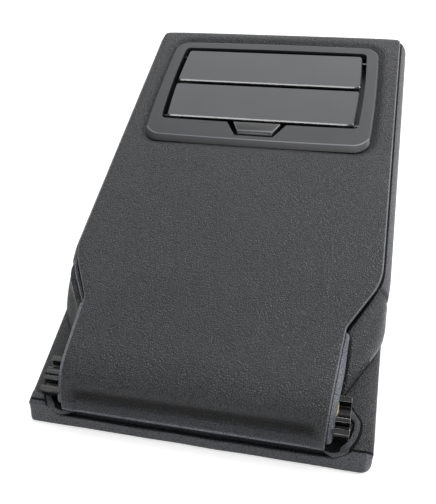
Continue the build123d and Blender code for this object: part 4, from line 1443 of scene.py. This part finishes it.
    def apron(self, sizes):
        """Leather apron between the hinge brackets, draped over the hem below the neck's lip, its
        body in painted shadow and its bead's ends painted light.
        """
        half = APRON_HIGH.x + 13 * MM
        front = APRON_HIGH.y - 7 * MM
        corner = 32 * MM
        bend = REAR_END + HEM_SLANT + 1.5 * MM
        drape = Vector((-HEM_SLANT, -HEM_TOP)).normalized()
        stop = bend - 13 * MM
        outline = rounded_path(
            [
                (half - 10 * MM, front),
                (half, front - 13 * MM),
                (half, stop),
                (-half, stop),
                (-half, front - 13 * MM),
                (10 * MM - half, front),
            ],
            (6 * MM, corner, corner, 6 * MM),
            LINE_STEP,
        )
        outline = resample(outline, APRON_COLUMNS)

        def place(column, row):
            point = outline[column]
            run = outline[min(column + 1, APRON_COLUMNS)] - outline[max(column - 1, 0)]
            inward = Vector((run.y, -run.x)).normalized()
            if row < BEAD_ROW:
                shift = blend(APRON_WIDTH, BEAD, row / BEAD_ROW)
                rise = APRON_RISE
            else:
                over = (row - BEAD_ROW) / (APRON_ROWS - BEAD_ROW)
                angle = math.pi * over
                shift = BEAD * (1 + math.cos(angle)) / 2
                rise = APRON_RISE + BEAD_RISE * math.sin(angle) + BEAD_STEP * over
            spot = point + inward * shift
            if spot.y >= bend:
                return Vector((spot.x, spot.y, HEM_TOP + rise))
            down = drape * (bend - spot.y)
            out = Vector((drape.y, -drape.x)) * rise
            sunk = ease((HANG_HALF - abs(spot.x)) / HANG_END)
            y = bend + down.x + out.x
            return Vector((spot.x, blend(y, max(y, bend), sunk), HEM_TOP + down.y + out.y))

        apron = grid("neck_apron", APRON_COLUMNS, APRON_ROWS, place)
        face_towards(apron, (0, 0, 1))
        finish_strip(
            apron,
            sizes.cover_wall * 0.6,
            # Painted shadow on the apron's body, painted light on the bead's ends
            ("Apron leather", "Side leather"),
            "apron",
            columns=APRON_COLUMNS,
            pick=lambda row, centre: int(
                row in BEAD_HIGHLIGHT_ROWS and abs(centre.x) > BEAD_HIGHLIGHT_FROM
            ),
        )


# Moulded pieces


# Bezel: inset of its crest, depth of its rear flange, wall round its openings, half width of the
# opening, gaps from the opening to the lids, and half widths of the button's notch
BEZEL_RIM = 1.6 * MM
BEZEL_FLANGE = 7 * MM
BEZEL_WALL = 2.5 * MM
OPENING_HALF = 101.5 * MM
REAR_GAP = 6.5 * MM
FRONT_GAP = 4.5 * MM
NOTCH_MOUTH = 30 * MM
NOTCH_REAR = 19 * MM


class ARMREST_OT_bezel(bpy.types.Operator):
    """Mould the bezel round the cup holder"""

    bl_idname = "armrest.bezel"
    bl_label = "Bezel"

    def execute(self, context):
        half = BEZEL_HIGH.x
        low = BEZEL_LOW.y
        high = BEZEL_HIGH.y
        plan = fill_runs(rounded_box(half, low, high, BEZEL_CORNER, 10), 6 * MM)
        plan = bowed(plan, half, low, high, SIDE_SAG, BEZEL_SAG)
        middle = (low + high) / 2
        top = BEZEL_HIGH.z
        brow = []
        brink = []
        crest = []
        for point in plan:
            rear = ease((middle - point.y) / (middle - low) * 3 - 1.9)
            brow.append(Vector((point.x, point.y, CUSHION_TOP + blend(0.6 * MM, -1.2 * MM, rear))))
            for ring, share, edge, drop in ((brink, 0.4, 1.0 * MM, 0.3 * MM), (crest, 1, 0, 0)):
                x = point.x * (1 - share * BEZEL_RIM / half)
                y = point.y - share * BEZEL_RIM * (point.y - middle) / (high - middle)
                y = blend(y, point.y + BEZEL_FLANGE - edge, rear)
                ring.append(Vector((x, y, top - blend((1 - share) * MM, drop, rear))))
        bezel = loft("cup_bezel", [lift(plan, CUSHION_TOP - 5.5 * MM), brow, brink, crest])
        dress(bezel, "Bezel plastic", "Bezel edge")
        # Painted highlight on the band below the crest at the rear, and on the bevels
        for polygon in bezel.data.polygons:
            centre = polygon.center
            highlight_band = top - 0.2 * MM < centre.z < top - 0.1 * MM and polygon.normal.z < 0.995
            polygon.material_index = int(highlight_band and centre.y < middle)
        for name, outline in (("skirt", self.opening), ("notch_skirt", self.notch)):
            levels = (BEZEL_LOW.z, top - 1 * MM)
            boolean(bezel, loft(name, [lift(outline(BEZEL_WALL), z) for z in levels]), "UNION")
        for outline in (self.opening, self.notch):
            levels = (BEZEL_LOW.z - 5 * MM, top + 5 * MM)
            boolean(bezel, loft("hole", [lift(outline(0), z) for z in levels]), "DIFFERENCE")
        merge(bezel)
        bevel(bezel, 0.4 * MM, segments=2, degrees=12, material=1)
        smooth(bezel, 12)
        finish_piece(bezel, "matte_black_plastic", BODY, "bezel")
        return {"FINISHED"}

    def opening(self, grow):
        """Cup holder opening, grown outwards."""
        half = OPENING_HALF + grow
        low = REAR_LID_LOW.y - REAR_GAP - grow
        high = FRONT_LID_HIGH.y + FRONT_GAP + grow
        outline = fill_runs(rounded_box(half, low, high, OPENING_CORNER + grow), 8 * MM)
        return bowed(outline, half, low, high, SIDE_SAG, BEZEL_SAG / 2)

    def notch(self, grow):
        """Notch of the release button, grown outwards."""
        front = REAR_LID_LOW.y + 2 * MM
        mouth = REAR_LID_LOW.y - REAR_GAP
        rear = BUTTON_LOW.y - 6 * MM - grow
        wide = NOTCH_MOUTH + grow
        corners = [(wide, front), (wide, mouth), (NOTCH_REAR + grow, rear)]
        corners += [(-x, y) for x, y in reversed(corners)]
        return [Vector(corner) for corner in corners]


class ARMREST_OT_lids(bpy.types.Operator):
    """Mould the two gloss lids"""

    bl_idname = "armrest.lids"
    bl_label = "Lids"

    def execute(self, context):
        middle = (REAR_LID_LOW.y + FRONT_LID_HIGH.y) / 2
        reach = (FRONT_LID_HIGH.y - REAR_LID_LOW.y) / 2
        for side, low, high, inset in (
            ("front", FRONT_LID_LOW, FRONT_LID_HIGH, 0.83 * MM),
            ("rear", REAR_LID_LOW, REAR_LID_HIGH, 0.90 * MM),
        ):
            half = high.x
            plan = fill_runs(rounded_box(half, low.y, high.y, 2.5 * MM), 6 * MM)
            plan = bowed(plan, half, middle - reach, middle + reach, SIDE_SAG, 0)
            crest = []
            for point in plan:
                y = blend(point.y, (low.y + high.y) / 2, 2 * inset / (high.y - low.y))
                crest.append(Vector((point.x * (1 - inset / half), y)))
            lid = loft(
                f"{side}_lid_panel",
                [lift(plan, low.z), lift(plan, high.z - 1.1 * MM), lift(crest, high.z)],
            )
            smooth(lid, 22)
            dress(lid, "Gloss plastic")
            finish_piece(lid, "gloss_black_plastic", f"{side}_lid", f"{side}_lid_cover")
        return {"FINISHED"}


# Angle up to which copies of the frame's pieces are shaded smooth
EDGE_ANGLE = 35


def softened_copy(name, source, width, *finishes):
    """A copy of a frame piece with its edges rounded, the last finish, a painted highlight, on the
    edges.
    """
    bpy.ops.object.select_all(action="DESELECT")
    obj = bpy.data.objects.new(name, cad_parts[source].data.copy())
    bpy.context.scene.collection.objects.link(obj)
    obj.data.name = name
    edit(
        obj,
        lambda: bpy.ops.mesh.remove_doubles(threshold=0.002 * MM),
        lambda: bpy.ops.mesh.dissolve_limited(angle_limit=math.radians(2)),
    )
    dress(obj, *finishes)
    bevel(obj, width, segments=2, material=len(finishes) - 1)
    smooth(obj, EDGE_ANGLE)
    return obj


class ARMREST_OT_button(bpy.types.Operator):
    """Mould the release button"""

    bl_idname = "armrest.button"
    bl_label = "Release button"

    def execute(self, context):
        finishes = ("Button plastic", "Button edge")
        button = softened_copy("release_key", "release_button", 0.8 * MM, *finishes)
        finish_piece(button, "button_grey_plastic", "button", "release_button")
        return {"FINISHED"}


class ARMREST_OT_brackets(bpy.types.Operator):
    """Mould the hinge brackets"""

    bl_idname = "armrest.brackets"
    bl_label = "Hinge brackets"

    def execute(self, context):
        finishes = ("Bracket plastic", "Bracket edge")
        left = softened_copy("left_bracket", "left_hinge_bracket", 0.75 * MM, *finishes)
        # Painted highlight on the left bracket's upward faces
        left.data.materials.append(bpy.data.materials["Bracket top"])
        for polygon in left.data.polygons:
            if polygon.normal.z > 0.95 and polygon.material_index == 0:
                polygon.material_index = 2
        finish_piece(left, "gloss_black_plastic", BODY, "left_hinge_bracket")
        right = softened_copy("right_bracket", "right_hinge_bracket", 0.75 * MM, *finishes)
        self.trim(right, context.scene.armrest_sizes.neck_half + 3 * MM)
        finish_piece(right, "gloss_black_plastic", BODY, "right_hinge_bracket")
        return {"FINISHED"}

    def trim(self, bracket, reach):
        """Cut the bracket back to the neck strip that hides the rest of it."""
        low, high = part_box("right_hinge_bracket")
        outline = [(0, low.y - MM), (reach, low.y - MM), (reach, high.y + MM), (0, high.y + MM)]
        outline = [Vector(corner) for corner in outline]
        levels = (low.z - MM, high.z + MM)
        boolean(bracket, loft("trim", [lift(outline, z) for z in levels]), "DIFFERENCE")
        smooth(bracket, EDGE_ANGLE)


# Stage

# Camera fitted to the photo
CAMERA_PLACE = Vector((113.93, -420.16, 509.53)) * MM
CAMERA_RIGHT = Vector((0.973676, 0.202146, -0.105319))
CAMERA_UP = Vector((-0.097614, 0.787337, 0.608747))
CAMERA_LENS = 48.27
CAMERA_SENSOR = 36
# Lamps: place, aim, width, height and power
LAMPS = {
    "key_lamp": ((0.4, 0.35, 1.75), (0, 0.1, 0), 1.4, 1.2, 17),
    "front_lamp": ((-0.27, -1.2, 1.005), (0, 0.1, 0.05), 1.0, 0.16, 6),
    "side_lamp": ((1.5, 0.6, 0.8), (0, 0, 0), 0.6, 0.6, 16),
}


def soft_lamp(name, place, aim, width, height, power):
    """Rectangular studio lamp aimed at a point."""
    data = bpy.data.lights.new(name, "AREA")
    data.shape = "RECTANGLE"
    data.size = width
    data.size_y = height
    data.energy = power
    lamp = bpy.data.objects.new(name, data)
    bpy.context.scene.collection.objects.link(lamp)
    lamp.location = place
    lamp.rotation_euler = (Vector(aim) - Vector(place)).to_track_quat("-Z", "Y").to_euler()


def seen_rays(tree):
    """The light path node, and 1 for what the camera sees directly, mirrored or through a piece."""
    rays = tree.nodes.new("ShaderNodeLightPath")
    seen = math_node(tree, "MAXIMUM", rays.outputs["Is Camera Ray"], rays.outputs["Is Glossy Ray"])
    return rays, math_node(tree, "MAXIMUM", seen, rays.outputs["Is Transmission Ray"])


class ARMREST_OT_stage(bpy.types.Operator):
    """Set the floor, the studio light and the camera"""

    bl_idname = "armrest.stage"
    bl_label = "Stage"

    def execute(self, context):
        colours = context.scene.armrest_colours
        bpy.ops.object.select_all(action="DESELECT")
        bpy.ops.mesh.primitive_plane_add(size=12, location=(0, 0, 0))
        floor = context.object
        floor.name = "studio_floor"
        floor.data.materials.append(self.floor_material(colours))
        self.world()
        for name, settings in LAMPS.items():
            soft_lamp(name, *settings)
        camera = bpy.data.objects.new("photo_camera", bpy.data.cameras.new("photo_camera"))
        context.scene.collection.objects.link(camera)
        back = CAMERA_RIGHT.cross(CAMERA_UP).normalized()
        turn = Matrix((CAMERA_RIGHT, CAMERA_UP, back)).transposed()
        camera.matrix_world = Matrix.Translation(CAMERA_PLACE) @ turn.to_4x4()
        camera.data.lens = CAMERA_LENS
        camera.data.sensor_width = CAMERA_SENSOR
        camera.data.clip_start = 0.01
        context.scene.camera = camera
        context.scene.view_settings.view_transform = "Standard"
        return {"FINISHED"}

    def floor_material(self, colours):
        """Pale floor that reads as white to the camera and keeps a soft shadow."""
        material, tree, shader = new_material("Studio floor")
        grain = tree.nodes.new("ShaderNodeTexNoise")
        grain.inputs["Scale"].default_value = 3.0
        dark = [value * 0.97 for value in colours.floor]
        tint = colour_mix(tree, dark, colours.floor, grain.outputs["Fac"])
        tree.links.new(tint, shader.inputs["Base Color"])
        shader.inputs["Roughness"].default_value = 0.9
        shader.inputs["Specular IOR Level"].default_value = 0.0
        _, seen = seen_rays(tree)
        glow = tree.nodes.new("ShaderNodeEmission")
        tree.links.new(math_node(tree, "MULTIPLY", seen, 0.45), glow.inputs["Strength"])
        both = tree.nodes.new("ShaderNodeAddShader")
        tree.links.new(shader.outputs[0], both.inputs[0])
        tree.links.new(glow.outputs[0], both.inputs[1])
        tree.links.new(both.outputs[0], tree.nodes["Material Output"].inputs["Surface"])
        return material

    def world(self):
        """White room, brighter to the right and the front, and even where the camera sees it."""
        world = bpy.data.worlds.new("Studio room")
        bpy.context.scene.world = world
        world.use_nodes = True
        tree = world.node_tree
        background = tree.nodes["Background"]
        background.inputs["Color"].default_value = (1, 1, 1, 1)
        rays, seen = seen_rays(tree)
        way = tree.nodes.new("ShaderNodeTexCoord").outputs["Generated"]
        parts = tree.nodes.new("ShaderNodeSeparateXYZ")
        tree.links.new(way, parts.inputs[0])
        across = range_node(tree, parts.outputs["X"], 0.97, 1.3, -0.4, 0.15)
        along = range_node(tree, parts.outputs["Y"], 0.1, 1.25, -0.5, 0.8)
        far = range_node(tree, parts.outputs["Y"], 0.0, 0.25, 0.5, 0.8)
        sheen = math_node(tree, "MULTIPLY", across, math_node(tree, "ADD", along, far))
        room = math_node(tree, "MULTIPLY", sheen, range_node(tree, seen, 0.6, 1.0))
        lit = tree.nodes.new("ShaderNodeMix")
        lit.inputs[3].default_value = 1.0
        tree.links.new(rays.outputs["Is Camera Ray"], lit.inputs[0])
        tree.links.new(room, lit.inputs[2])
        tree.links.new(lit.outputs[0], background.inputs["Strength"])


class ARMREST_PT_sidebar(bpy.types.Panel):
    """Buttons and sizes of the armrest"""

    bl_idname = "ARMREST_PT_sidebar"
    bl_label = "Rear seat armrest"
    bl_space_type = "VIEW_3D"
    bl_region_type = "UI"
    bl_category = "Armrest"

    def draw(self, context):
        for operator in OPERATORS:
            self.layout.operator(operator.bl_idname)
        for group in (context.scene.armrest_sizes, context.scene.armrest_colours):
            box = self.layout.box()
            for key in group.__annotations__:
                box.prop(group, key)


OPERATORS = (
    ARMREST_OT_finishes,
    ARMREST_OT_top,
    ARMREST_OT_sides,
    ARMREST_OT_base,
    ARMREST_OT_bezel,
    ARMREST_OT_lids,
    ARMREST_OT_button,
    ARMREST_OT_brackets,
    ARMREST_OT_stage,
)
CLASSES = (ArmrestSizes, ArmrestColours, *OPERATORS, ARMREST_PT_sidebar)


def register():
    """Register the classes and their settings."""
    for item in CLASSES:
        bpy.utils.register_class(item)
    bpy.types.Scene.armrest_sizes = PointerProperty(type=ArmrestSizes)
    bpy.types.Scene.armrest_colours = PointerProperty(type=ArmrestColours)


def unregister():
    """Take the settings and the classes away again."""
    del bpy.types.Scene.armrest_colours
    del bpy.types.Scene.armrest_sizes
    for item in reversed(CLASSES):
        bpy.utils.unregister_class(item)


def main():
    """Build every piece and the stage."""
    register()
    bpy.ops.armrest.finishes()
    bpy.ops.armrest.top()
    bpy.ops.armrest.sides()
    bpy.ops.armrest.base()
    bpy.ops.armrest.bezel()
    bpy.ops.armrest.lids()
    bpy.ops.armrest.button()
    bpy.ops.armrest.brackets()
    bpy.ops.armrest.stage()


if __name__ == "__main__":
    main()
